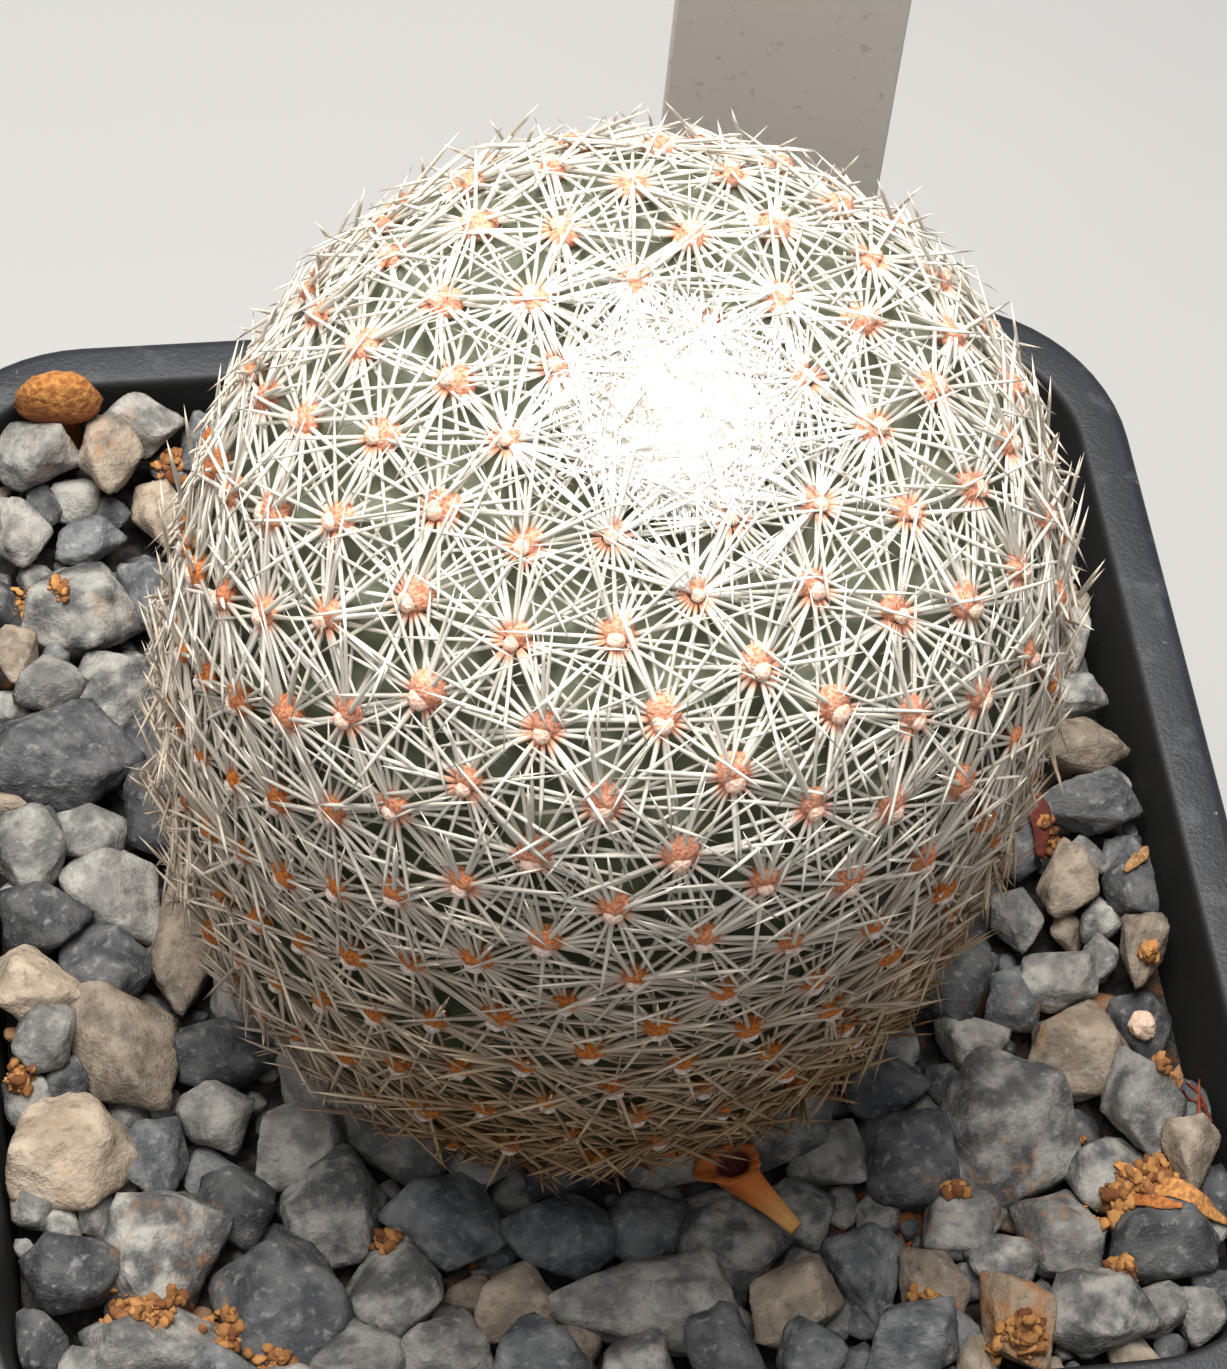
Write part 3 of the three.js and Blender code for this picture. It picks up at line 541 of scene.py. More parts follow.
def stone_places():
    """Where the chips lie: x, y, radius, half length, half width, turn, tip, shape and kind."""
    draw = random_source(4127)
    places = []
    for i, (kind, x, y, long, wide, degrees) in enumerate(CHOSEN_STONES):
        radius = (long + wide) / (STONE_LENGTH + STONE_WIDTH)
        tip = mix(-0.4, 0.4, draw())
        places.append((x, y, radius, long, wide, math.radians(degrees), tip, i % STONE_SHAPES, kind))
    pick = random_source(613)
    half = inner_side(BED_TOP) / 2 - GAP
    corner = inner_corner(BED_TOP)
    for tries, mean_radius in STONE_SIZES:
        for _ in range(tries):
            radius = mean_radius * mix(*STONE_SPREAD, draw())
            x = mix(-half, half, draw())
            y = mix(-half, half, draw())
            turn = draw() * 2 * math.pi
            tip = mix(-STONE_TIP, STONE_TIP, draw())
            shape = math.floor(draw() * STONE_SHAPES)
            over_x = abs(x) + radius * WALL_ROOM - (half - corner)
            over_y = abs(y) + radius * WALL_ROOM - (half - corner)
            over_corner = math.hypot(max(0, over_x), max(0, over_y))
            outside = max(over_x, over_y, over_corner) > corner
            if outside or on_label(x, y, radius) or from_plant(x, y) < NECK_RADIUS + radius:
                continue
            if any(math.hypot(x - p[0], y - p[1]) < STONE_SPACING * (radius + p[2]) for p in places):
                continue
            kind = ORDINARY_KINDS[math.floor(pick() * len(ORDINARY_KINDS))]
            places.append((x, y, radius, radius * STONE_LENGTH, radius * STONE_WIDTH, turn, tip, shape, kind))
    return places


def sifted_places(seed, tries, smallest, largest, closeness, kinds, taken):
    """Chips that fill the room between those already taken, as stone_places gives them."""
    draw = random_source(seed)
    places = []
    for _ in range(tries):
        radius = mix(smallest, largest, draw() ** 1.5)
        x = mix(-SIFT_REACH, SIFT_REACH, draw())
        y = mix(-SIFT_REACH, SIFT_REACH, draw())
        turn = draw() * 2 * math.pi
        tip = mix(-SIFT_TIP, SIFT_TIP, draw())
        shape = math.floor(draw() * STONE_SHAPES)
        kind = kinds[math.floor(draw() * len(kinds))]
        outside = beyond_wall(x, y, BED_TOP) > -0.45 * radius
        if outside or on_label(x, y, radius, SIFT_LABEL_ROOM) or from_plant(x, y) < NECK_RADIUS + 1 + radius:
            continue
        if any(math.hypot(x - a, y - b) < closeness * (radius + c) for a, b, c in taken):
            continue
        taken.append((x, y, radius))
        places.append((x, y, radius, radius * SIFT_LENGTH, radius, turn, tip, shape, kind))
    return places


def stone_planes(shape):
    """The flat faces of one shape of chip, as directions and distances from its middle."""
    draw = random_source((shape + 1) * 9973)
    work = bmesh.new()
    for i in range(STONE_POINTS):
        height = 1 - (2 * i + 1) / STONE_POINTS
        angle = i * GOLDEN_ANGLE + mix(-0.35, 0.35, draw())
        wide = math.sqrt(1 - height * height) * mix(0.82, 1.08, draw())
        work.verts.new((wide * math.cos(angle), wide * math.sin(angle), height * mix(0.85, 1.1, draw())))
    bmesh.ops.convex_hull(work, input=work.verts)
    bmesh.ops.recalc_face_normals(work, faces=work.faces)
    planes = [(face.normal.copy(), face.normal.dot(face.verts[0].co)) for face in work.faces]
    work.free()
    return planes


def smooth_mesh(name, work):
    mesh = bpy.data.meshes.new(name)
    work.to_mesh(mesh)
    work.free()
    mesh.shade_smooth()
    return mesh


def lump_mesh(name, fineness, reach):
    """A ball whose surface lies where the reach of each way from the middle puts it."""
    work = bmesh.new()
    bmesh.ops.create_icosphere(work, subdivisions=fineness, radius=1)
    for vertex in work.verts:
        vertex.co = reach(vertex.co.normalized())
    return smooth_mesh(name, work)


def rough(way, fineness, x=0, y=0, z=0):
    return noise.noise(way * fineness + Vector((x, y, z)))


def chip_mesh(name, shape, fineness, sharpness=44, roughness=0.06):
    """One chip about 1 across its middle, with worn edges, dents and a broken surface."""
    planes = stone_planes(shape)

    def reach(way):
        bite = sum(max(0, way.dot(normal) / distance) ** sharpness for normal, distance in planes)
        dent = rough(way, 1.9, x=shape * 7)
        pit = rough(way, 5.5, y=shape * 5)
        nick = rough(way, 9, x=shape * 3, z=4)
        return way * bite ** (-1 / sharpness) * (1 + roughness * (dent + 0.6 * pit + 0.3 * nick))

    return lump_mesh(name, fineness, reach)


def gathered(name, meshes):
    """Small shapes that are only ever repeated, never shown by themselves."""
    group = bpy.data.collections.new(name)
    for mesh in meshes:
        group.objects.link(bpy.data.objects.new(mesh.name, mesh))
    return group


def chip_models(name, levels, *wear):
    """Every shape of chip, once for each level of fineness."""
    meshes = []
    for i in range(len(levels) * STONE_SHAPES):
        meshes.append(chip_mesh(f"{name}_{i:02}", i % STONE_SHAPES, levels[i // STONE_SHAPES], *wear))
    return gathered(name, meshes)


def seed_points(name, points, **rows):
    """Loose points in millimetres, each with its own values for what grows on it."""
    seeds = mesh_piece(name, points, [], smooth=False)
    for label, values in rows.items():
        values = np.asarray(values, dtype=np.float32)
        kind, field = ("FLOAT", "value") if values.ndim == 1 else ("FLOAT_VECTOR", "vector")
        seeds.data.attributes.new(label, kind, "POINT").data.foreach_set(field, values.ravel())
    return seeds


class Shape(Graph):
    """A Geometry Nodes tree with named inputs, which grows a piece on its seeds."""

    def __init__(self, name, *sizes):
        self.tree = bpy.data.node_groups.new(name, "GeometryNodeTree")
        self.socket("Seeds", "Geometry")
        self.socket("Piece", "Geometry", "OUTPUT")
        self.entry = self.tree.nodes.new("NodeGroupInput")
        self.exit = self.tree.nodes.new("NodeGroupOutput")
        self.keys = {}
        kinds = {"Models": "Collection", "Finish": "Material", "Spines a cushion": "Int"}
        for label in ("Models", *sizes, "Finish"):
            self.keys[label] = self.socket(label, kinds.get(label, "Float"))
        self.turn = self.turned(self.named("turn", "FLOAT_VECTOR"))

    def socket(self, name, kind, side="INPUT"):
        sockets = self.tree.interface
        return sockets.new_socket(name, in_out=side, socket_type=f"NodeSocket{kind}").identifier

    def input(self, name):
        return Link(self, self.entry.outputs[name])

    def named(self, name, kind="FLOAT"):
        return self.add("GeometryNodeInputNamedAttribute", {"data_type": kind}, {"Name": name})

    def turned(self, angles):
        return self.add("FunctionNodeEulerToRotation", values={0: angles})

    def rotated(self, place, turn):
        return self.add("FunctionNodeRotateVector", values={0: place, 1: turn})

    def moved(self, points, offset):
        return self.add("GeometryNodeSetPosition", values={0: points, "Offset": offset})

    def any_between(self, low, high, seed):
        return self.add("FunctionNodeRandomValue", {"data_type": "FLOAT"}, {2: low, 3: high, "Seed": seed}, 1)

    def any_model(self, last, seed):
        return self.add("FunctionNodeRandomValue", {"data_type": "INT"}, {4: 0, 5: last, "Seed": seed}, 2)

    def complete(self, points, **values):
        """The tree's end: a model on each point, made real, in the finish that is asked for."""
        group = self.add("GeometryNodeCollectionInfo", values={0: self.input("Models"), 1: True, 2: True})
        values = {key.replace("_", " "): value for key, value in values.items()}
        copies = self.add("GeometryNodeInstanceOnPoints", values={
            "Points": points, "Instance": group, "Pick Instance": True, **values,
        })
        real = self.add("GeometryNodeRealizeInstances", values={0: copies})
        done = self.add("GeometryNodeSetMaterial", values={0: real, "Material": self.input("Finish")})
        self.tree.links.new(done.socket, self.exit.inputs[0])

    def grow(self, name, seeds, finish, **sizes):
        """Grows the tree on the seeds and returns the result as a plain mesh piece."""
        modifier = seeds.modifiers.new(name, "NODES")
        modifier.node_group = self.tree
        modifier[self.keys["Finish"]] = finish.material
        for key, value in sizes.items():
            modifier[self.keys[key.replace("_", " ")]] = value
        settle(seeds)
        seeds.name = name
        seeds.data.name = name
        return seeds


CHIP_VALUES = ("turn", "size", "model", "tint", "patch", "cover", "shift")
scatter = Shape("scattered_chips", "Swell")
chip_size = scatter.named("size", "FLOAT_VECTOR").vector("SCALE", scatter.input("Swell"))
scatter.complete(
    scatter.input("Seeds"), Instance_Index=scatter.named("model"), Rotation=scatter.turn, Scale=chip_size,
)


def scattered(name, points, rows, finish, models, swell):
    """Copies of chips on their places. A row holds a chip's values in the order of CHIP_VALUES."""
    seeds = seed_points(name, points, **dict(zip(CHIP_VALUES, zip(*rows))))
    return scatter.grow(name, seeds, finish, Models=models, Swell=swell)


stone = Finish("washed_stone", Roughness=0.8)
stone_shift = stone.attribute("shift")
stone_place = stone.place.vector("ADD", stone.xyz(stone_shift, 0, stone_shift))
clouding = stone.noise(1.7, 5, stone_place)
patches = stone.step(clouding, 0.36, 0.66) * stone.attribute("cover")
speckle = stone.noise(0.55, 5, stone_place)
stone_tone = stone.mix(patches, stone.attribute("tint", "Color"), stone.attribute("patch", "Color"))
stone_tone = stone.mix(stone.step(speckle, 0.54, 0.74) * 0.22, stone_tone, (214, 212, 206))
stone_tone = stone.mix((1 - stone.step(speckle, 0.28, 0.47)) * 0.4, stone_tone, (44, 45, 48))
crust = stone.noise(0.7, 5)
stain = stone.spots(8, 2, 0.58, 0.68) * stone.step(crust, 0.5, 0.62)
crust_tone = stone.mix(stone.step(crust, 0.5, 0.75), (140, 82, 36), (206, 150, 86))
stone.colour(stone.mix(stain * 0.3, stone_tone, crust_tone))
stone.surface("Roughness", stone.step(clouding, 0.3, 0.7) * 0.2 + 0.66)
stone.relief(clouding + speckle * 0.7 + stone.noise(0.16, 3, stone_place) * 0.35, 0.22)


def clear_of_wall(points):
    """Chips that would reach into the pot's wall are worn flat against it."""
    x, y, z = points.T
    corner, *over = past_straight(x, y, np.clip(z, SOIL_TOP, RIM_Z))
    over_x, over_y = np.maximum(over, 0)
    share = corner / np.maximum(np.hypot(over_x, over_y), corner)
    for axis, over in ((0, over_x), (1, over_y)):
        points[:, axis] -= np.sign(points[:, axis]) * over * (1 - share)


def clear_of_plant(points, room=1.3):
    """Chips under the leaning body are pressed down until it clears them."""
    cos, sin = math.cos(PLANT_LEAN), math.sin(PLANT_LEAN)
    x = points[:, 0] - PLANT_X
    y = points[:, 1] - PLANT_Y
    z = points[:, 2] - FOOT_Z
    across = y * cos + z * sin
    up = z * cos - y * sin
    radius = np.hypot(x, across)
    share = np.clip(radius / (BODY_RADIUS + room), 0, 1)
    underside = LOWER_HEIGHT - LOWER_HEIGHT * (1 - share ** LOWER_POWER) ** (1 / LOWER_POWER) - room
    points[:, 2] -= np.maximum(0, up - underside) * (share < 1)
    points[:, 2] = np.maximum(points[:, 2], SOIL_TOP)
    from_neck = np.hypot(x, y)
    push = np.maximum(0, NECK_RADIUS + 2 * GAP - from_neck)
    points[:, 0] += x / from_neck * push
    points[:, 1] += y / from_neck * push


# The fine bed that the chips are pressed into, with a hole for the neck and a slot for the label
BED_AROUND = 240
BED_ROWS = 44
BED_FOOT = SOIL_TOP + 0.1
BED_LEVEL = BED_TOP - 0.2
BED_ROUGHNESS = 0.55
SEARCH_REACH = 60.0
SEARCH_STEPS = 30
SLOT_WIDTH = 12.8
SLOT_THICKNESS = 1.8
SLOT_LEVELS = (50, 63)


def bed_ring(share, z, grain=0.0):
    """A ring between the neck and the wall, at a share of the way between them."""
    angles = np.arange(BED_AROUND) / BED_AROUND * 2 * math.pi
    cos, sin = np.cos(angles), np.sin(angles)
    near = np.full(BED_AROUND, NECK_RADIUS + 2 * GAP)
    low, high = near.copy(), np.full(BED_AROUND, SEARCH_REACH)
    for _ in range(SEARCH_STEPS):
        middle = (low + high) / 2
        inside = beyond_wall(PLANT_X + middle * cos, PLANT_Y + middle * sin, z) < 0
        low = np.where(inside, middle, low)
        high = np.where(inside, high, middle)
    reach = near + (low - near) * share
    ring = []
    for x, y in zip(PLANT_X + reach * cos, PLANT_Y + reach * sin):
        lift = noise.noise(Vector((x, y, 0)) * 0.9) + 0.6 * noise.noise(Vector((x, y, 5)) * 2.1)
        ring.append((x, y, z + grain * lift))
    return ring


bed_rings = [bed_ring(0, BED_FOOT), bed_ring(0, BED_LEVEL)]
bed_rings += [bed_ring(row / BED_ROWS, BED_LEVEL, BED_ROUGHNESS) for row in range(1, BED_ROWS)]
bed_rings += [bed_ring(1, BED_LEVEL), bed_ring(1, BED_FOOT)]
bed = loft("gravel_bed", bed_rings[::-1], closed=True)
slot_corners = []
for z in SLOT_LEVELS:
    for x, y in ((-1, -1), (1, -1), (1, 1), (-1, 1)):
        slot_corners.append((LABEL_X + x * SLOT_WIDTH / 2, LABEL_Y + y * SLOT_THICKNESS / 2, z))
slot_faces = [(3, 2, 1, 0), (4, 5, 6, 7), (0, 1, 5, 4), (1, 2, 6, 5), (2, 3, 7, 6), (3, 0, 4, 7)]
cut(bed, mesh_piece("label_slot", slot_corners, slot_faces, smooth=False))
# The bed is near black: the grit's own colour and painted shade for the crevices between the chips, with real
# rust spots.
grit = Finish("dark_grit", Roughness=0.95)
grit_and_crevice_shade = grit.mix(grit.spots(0.8, 4, 0.4, 0.62), (18, 16, 15), (58, 52, 46))
rust = grit.spots(6, 3, 0.56, 0.66) * grit.spots(0.9, 3, 0.45, 0.6)
grit.colour(grit.mix(rust * 0.8, grit_and_crevice_shade, (150, 84, 36)))
grit.relief(grit.noise(0.5, 4), 0.4)
fit(bed, grit, "gravel")


def chip_level(x, y):
    """The chips are banked up towards the wall, and lie lower where a loose bit rests on them."""
    by_wall = smooth_share(beyond_wall(x, y, BED_TOP), *WALL_BANK_SPAN)
    bit = min(math.hypot(x - a, y - b) for a, b in (FLOWER_MIDDLE, GRAIN_MIDDLE))
    return BED_TOP + (CHIP_LIFT + WALL_LIFT * by_wall) * smooth_share(bit, *HOLLOW_SPAN)


def chip_place(x, y, long, wide, rise):
    """Where a chip's middle lies, its top under the rim but for those banked round the bark."""
    tall = min(CHIP_TALLEST, (long + wide) * STONE_HEIGHT) * CHIP_SWELL / MM * CHIP_SHARE
    from_bark = math.hypot(x - BARK_MIDDLE[0], y - BARK_MIDDLE[1])
    banked = BARK_BANK * (1 - smooth_share(from_bark, *BARK_BANK_SPAN))
    return (x, y, min(chip_level(x, y) + rise, HIGHEST_CHIP - tall) + banked)


def bed_in(name, places, models, rise, finest=0):
    """Lays a layer of chips on the bed. The first of them, as many as finest says, get finer models."""
    points = []
    rows = []
    for i, (x, y, radius, long, wide, turn, tip, model, kind) in enumerate(places):
        *tones, cover = STONE_KINDS[kind]
        shade = 1 + SHADE_SWING * math.sin(i * 2.4)
        size = (long, wide, min(CHIP_TALLEST, (long + wide) * STONE_HEIGHT))
        tones = [[value * shade for value in tone] for tone in tones]
        points.append(chip_place(x, y, long, wide, rise(radius)))
        rows.append(((tip, 0, turn), size, model + STONE_SHAPES * (i >= finest), *tones, cover, i * 0.0137))
    piece = scattered(name, points, rows, stone, models, CHIP_SWELL)
    flat = np.empty(len(piece.data.vertices) * 3)
    piece.data.vertices.foreach_get("co", flat)
    points = flat.reshape(-1, 3) / MM
    clear_of_wall(points)
    clear_of_plant(points)
    piece.data.vertices.foreach_set("co", (points * MM).ravel())
    piece.data.update()
    fit(piece, stone, "gravel")
    return piece


chips = stone_places()
fine_chips = chip_models("chip", (4, 3))
stones = bed_in("gravel_stones", chips, fine_chips, lambda radius: radius * STONE_RISE, len(CHOSEN_STONES))

# Chips of middling size wedged in between and half under the others, then the crumbs below them
taken_room = [(x, y, (long + wide) / 2) for x, y, _, long, wide, *_ in chips]
wedged = sifted_places(90210, 6000, 1.1, 2, 0.68, WEDGED_KINDS, taken_room)
wedged_stones = bed_in("wedged_stones", wedged, fine_chips, lambda radius: -WEDGED_SINK)
sifted = sifted_places(5577, 9000, 0.4, 0.9, 0.8, SIFTED_KINDS, taken_room)
small_chips = chip_models("small", (2,), 14, 0.12)
small_stones = bed_in("gravel_chips", sifted, small_chips, lambda radius: -SIFTED_SINK, len(sifted))

# Cactus: one short, stout body of dark green flesh on a narrow neck and a root.
# It grew as one piece, raised into small tubercles that run round it in spirals.
CUSHIONS = 372
FIRST_ANGLE = 0.6
CROWN_CROWDING = 1.12
YOUTH_FADES = 14
CUSHION_LIFT = 0.15
TUBERCLE_DEPTH = 1.5
TUBERCLE_SPAN = (0.3, 2.9)
NECK_BEND = (FOOT_Z - 5, FOOT_Z + 1)
LOWEST_CUSHION_Z = 64.8
BODY_Z = FOOT_Z + LOWER_HEIGHT
ROOT_TOP_RADIUS = 9.6
ROOT_TIP_RADIUS = 6.5
ROOT_DEPTH = 24
SKIN_AROUND = 264
SKIN_ROWS = 190
SKIN_CROWDING = 1.25
PROFILE_STEPS = 480


def leaned(points):
    """Bends the plant over in its neck. It stands straight in the soil."""
    points = np.array(points, dtype=float).reshape(-1, 3)
    angle = PLANT_LEAN * smooth_share(points[:, 2], *NECK_BEND)
    y = points[:, 1] - PLANT_Y
    z = points[:, 2] - FOOT_Z
    points[:, 1] = PLANT_Y + y * np.cos(angle) - z * np.sin(angle)
    points[:, 2] = FOOT_Z + y * np.sin(angle) + z * np.cos(angle)
    return points


def skin_profile():
    """Radius and height of the skin from the crown down, with the skin area so far."""
    rows = []
    area = 0
    for step in range(PROFILE_STEPS + 1):
        angle = math.pi / 2 - step / PROFILE_STEPS * math.pi
        power = 2 / (UPPER_POWER if angle > 0 else LOWER_POWER)
        height = UPPER_HEIGHT if angle > 0 else LOWER_HEIGHT
        radius = BODY_RADIUS * max(0, math.cos(angle)) ** power
        z = math.copysign(height * abs(math.sin(angle)) ** power, angle)
        if rows:
            area += math.pi * (radius + rows[-1][0]) * math.hypot(radius - rows[-1][0], z - rows[-1][1])
        rows.append((radius, z, area))
    return np.array(rows)


profile = skin_profile()


def underside_row(radius):
    """The first row of the profile, below the widest, that is narrower than the radius."""
    return next(row for row in profile if row[1] < 0 and row[0] < radius)


def skin_at(area):
    """Radius, height and the downward way along the skin, at an area from the crown."""
    index = max(1, int(np.argmax(profile[:, 2] >= area)))
    low, high = profile[index - 1], profile[index]
    share = (area - low[2]) / (high[2] - low[2])
    down = Vector(high[:2] - low[:2]).normalized()
    return mix(low[0], high[0], share), mix(low[1], high[1], share), down


def skin_frame(area, angle):
    """A place on the skin: its seat, and its turn, with x to the side, y to the crown and z out."""
    radius, z, down = skin_at(area)
    cos, sin = math.cos(angle), math.sin(angle)
    seat = leaned((PLANT_X + radius * cos, PLANT_Y + radius * sin, BODY_Z + z))[0]
    bend = Matrix.Rotation(PLANT_LEAN, 3, "X")
    out = bend @ Vector((-down.y * cos, -down.y * sin, down.x))
    up = bend @ Vector((-down.x * cos, -down.x * sin, -down.y))
    return seat, tuple(Matrix((up.cross(out), up, out)).transposed().to_euler())


# The seat of each spine cushion, from the crown down, with its turn, youth and age
covered_area = underside_row(NECK_RADIUS + 2.4)[2]
seats = []
cushion_rows = {"turn": [], "youth": [], "age": []}
for i in range(CUSHIONS):
    area = covered_area * ((i + 0.5) / CUSHIONS) ** CROWN_CROWDING
    seat, turn = skin_frame(area, FIRST_ANGLE - i * GOLDEN_ANGLE)
    if seat[2] > LOWEST_CUSHION_Z:
        seats.append(seat)
        cushion_rows["turn"].append(turn)
        cushion_rows["youth"].append(math.exp(-i / YOUTH_FADES))
        cushion_rows["age"].append(i / CUSHIONS)
seat_tree = kdtree.KDTree(len(seats))
for i, seat in enumerate(seats):
    seat_tree.insert(Vector(seat), i)
seat_tree.balance()


def plant_ring(radius, z, count=SKIN_AROUND):
    return round_ring(radius, z, count, PLANT_X, PLANT_Y)


def skin_ring(radius, z):
    """A ring of the skin, raised at each cushion and sunk between them."""
    ring = leaned(plant_ring(radius, z))
    axis = leaned((PLANT_X, PLANT_Y, z))[0]
    for point in ring:
        _, _, near = seat_tree.find(Vector(point))
        sink = CUSHION_LIFT - (TUBERCLE_DEPTH + CUSHION_LIFT) * smooth_share(near, *TUBERCLE_SPAN)
        sink += 0.1 * noise.noise(Vector(point) * 0.9)
        way = point - axis
        way[2] += 0.35 * (z - BODY_Z)
        point += way / max(np.linalg.norm(way), 0.1) * sink
    return ring


skin_rings = [
    plant_ring(ROOT_TIP_RADIUS, SOIL_TOP - ROOT_DEPTH),
    plant_ring(ROOT_TOP_RADIUS, SOIL_TOP),
    plant_ring(NECK_RADIUS, SOIL_TOP + 1),
    leaned(plant_ring(NECK_RADIUS, FOOT_Z - 1.6)),
    leaned(plant_ring(NECK_RADIUS + 0.2, FOOT_Z - 0.4)),
]
neck_z = BODY_Z + underside_row(NECK_RADIUS + 1.2)[1]
for row in range(SKIN_ROWS, 0, -1):
    radius, z, _ = skin_at(profile[-1, 2] * (row / (SKIN_ROWS + 1)) ** SKIN_CROWDING)
    if BODY_Z + z > neck_z:
        skin_rings.append(skin_ring(radius, BODY_Z + z))
body = loft("cactus_body", skin_rings)
flesh = Finish("cactus_flesh", Roughness=0.55)
flesh_cloud = flesh.noise(2.2, 4)
flesh_tone = flesh.mix(flesh_cloud, (42, 50, 28), (82, 92, 52))
# Painted light: the skin is paler towards the crown, where the light falls brightest on the plant.
painted_crown_light = flesh.step(flesh.height(), 98 * MM, 115 * MM) * 0.7
flesh_tone = flesh.mix(painted_crown_light, flesh_tone, flesh.mix(flesh_cloud, (108, 114, 92), (160, 163, 142)))
fissure = flesh.noise(0.9, 5)
corky = 1 - flesh.step(flesh.height() + flesh_cloud * 5 * MM, 67 * MM, 72 * MM)
cork_tone = flesh.mix(flesh.step(fissure, 0.38, 0.6), (44, 30, 20), (118, 88, 60))
flesh.colour(flesh.mix(corky, flesh_tone, cork_tone))
flesh.relief(flesh.noise(0.35, 3) + corky * fissure * 6, 0.06)
fit(body, flesh, "cactus")

# Cushions: the woolly areole on each tubercle, with a pale bulb where its spines sit.
# The wool is cream and peach on young growth and orange brown low down on the plant.
WOOL_SHAPES = 6


def wool_mesh(shape):
    def reach(way):
        place = way * (1 + 0.28 * rough(way, 2.6, x=shape * 3))
        place.z *= 0.72
        return place

    return lump_mesh(f"wool_{shape}", 2, reach)


tuft = Shape("cushion_wool", "Size", "Rise", "Towards crown")
tuft_place = tuft.xyz(0, tuft.input("Towards crown"), tuft.input("Rise"))
tuft_scale = tuft.input("Size") * tuft.any_between(0.82, 1.18, 9) * (1 - tuft.named("youth") * 0.4)
tuft.complete(
    tuft.moved(tuft.input("Seeds"), tuft.rotated(tuft_place, tuft.turn)),
    Instance_Index=tuft.any_model(WOOL_SHAPES - 1, 4), Rotation=tuft.turn, Scale=tuft_scale,
)
wool_models = gathered("wool_models", [wool_mesh(shape) for shape in range(WOOL_SHAPES)])

# A kind of tuft: its young and its old colour, then both of them in shade, its size and its place
TUFT_KINDS = {
    "cushion_wool": (
        (228, 168, 140), (206, 122, 44), (198, 120, 88), (156, 80, 30),
        dict(Size=0.7, Rise=0.26, Towards_crown=0.36),
    ),
    "spine_bulbs": (
        (242, 214, 196), (234, 222, 214), (226, 172, 144), (208, 182, 164),
        dict(Size=0.42, Rise=0.56, Towards_crown=-0.12),
    ),
}
for name, (young, old, young_shade, old_shade, sizes) in TUFT_KINDS.items():
    wool = Finish(name, Roughness=0.95)
    age = wool.step(wool.attribute("age"), 0.12, 0.4)
    fluff = wool.noise(0.16, 3)
    shade = wool.mix(age, young_shade, old_shade)
    wool.colour(wool.mix(wool.step(fluff, 0.35, 0.6), shade, wool.mix(age, young, old)))
    wool.relief(fluff, 0.12)
    metres = {key: value * MM for key, value in sizes.items()}
    piece = tuft.grow(name, seed_points(name, seats, **cushion_rows), wool, Models=wool_models, **metres)
    fit(piece, wool, "cactus")

# Spines: straight needles in a flat star round each cushion, with a few stouter ones that
# stand up towards the crown. They grew from the cushions, hard and ivory, orange at the root.
LOWEST_TIP_Z = 62.4
SPINE_SIDES = 5
SPINE_BOWS = ((0, -0.12, 0), (0.2, -0.2, 0), (-0.2, -0.1, 0), (0, 0.1, 0))


def spine_mesh(name, bow):
    """One needle along z, 1 long and 1 thick, bowed a little, with its own place from root to tip."""
    rows = ((0, 0.46), (0.15, 0.5), (0.7, 0.36))
    work = bmesh.new()
    rings = []
    for z, radius in rows:
        middle = Vector(bow) * math.sin(math.pi * z)
        rings.append([work.verts.new(middle + Vector(point)) for point in round_ring(radius, z, SPINE_SIDES)])
    tip = work.verts.new((0, 0, 1))
    work.faces.new(rings[0][::-1])
    for i in range(SPINE_SIDES):
        j = (i + 1) % SPINE_SIDES
        for low, high in zip(rings, rings[1:]):
            work.faces.new((low[i], low[j], high[j], high[i]))
        work.faces.new((rings[-1][i], rings[-1][j], tip))
    mesh = smooth_mesh(name, work)
    along = [z for z, _ in rows for _ in range(SPINE_SIDES)] + [1]
    mesh.attributes.new("along", "FLOAT", "POINT").data.foreach_set("value", along)
    return mesh


needles = Shape(
    "spines", "Spines a cushion", "First bearing", "Sweep", "Swing", "Lowest rise", "Highest rise",
    "Length", "Length spread", "Thickness", "Root reach", "Root rise", "Lowest tip",
)
count = needles.input("Spines a cushion")
swing = needles.input("Swing")
spread = needles.input("Length spread")
reach = needles.input("Root reach")
youth = needles.named("youth")
copies = needles.add(
    "GeometryNodeDuplicateElements", {"domain": "POINT"}, {0: needles.input("Seeds"), "Amount": count},
)
share = (copies.out("Duplicate Index") + 0.5) / count
bearing = needles.input("First bearing") + needles.input("Sweep") * share
bearing = bearing + needles.any_between(swing * -1, swing, 1)
rise = needles.any_between(needles.input("Lowest rise"), needles.input("Highest rise"), 2) + youth * 0.35
stretch = needles.any_between(1 - spread, 1 + spread, 3) * (1 - youth * 0.25) * needles.input("Length")
girth = needles.input("Thickness") * needles.any_between(0.8, 1.15, 6) * (1 - youth * 0.25)
whole_turn = needles.add("FunctionNodeRotateRotation", {"rotation_space": "LOCAL"}, {
    0: needles.turn, 1: needles.turned(needles.xyz(rise - math.pi / 2, 0, bearing * -1)),
})
toned = needles.add("GeometryNodeStoreNamedAttribute", {"data_type": "FLOAT", "domain": "POINT"}, {
    0: copies, "Name": "tone", "Value": needles.any_between(0, 1, 5),
})
side, ahead = bearing.math("SINE") * reach, bearing.math("COSINE") * reach
root_place = needles.xyz(side, ahead, needles.input("Root rise"))
roots = needles.moved(toned, needles.rotated(root_place, needles.turn))
tip_place = needles.add("GeometryNodeInputPosition").vector(
    "ADD", needles.rotated(needles.xyz(0, 0, stretch), whole_turn),
)
kept = needles.add("FunctionNodeCompare", {"data_type": "FLOAT", "operation": "GREATER_THAN"}, {
    0: tip_place.part("Z"), 1: needles.input("Lowest tip"),
})
needles.complete(
    roots, Selection=kept, Instance_Index=needles.any_model(len(SPINE_BOWS) - 1, 7), Rotation=whole_turn,
    Scale=needles.xyz(girth, girth, stretch),
)
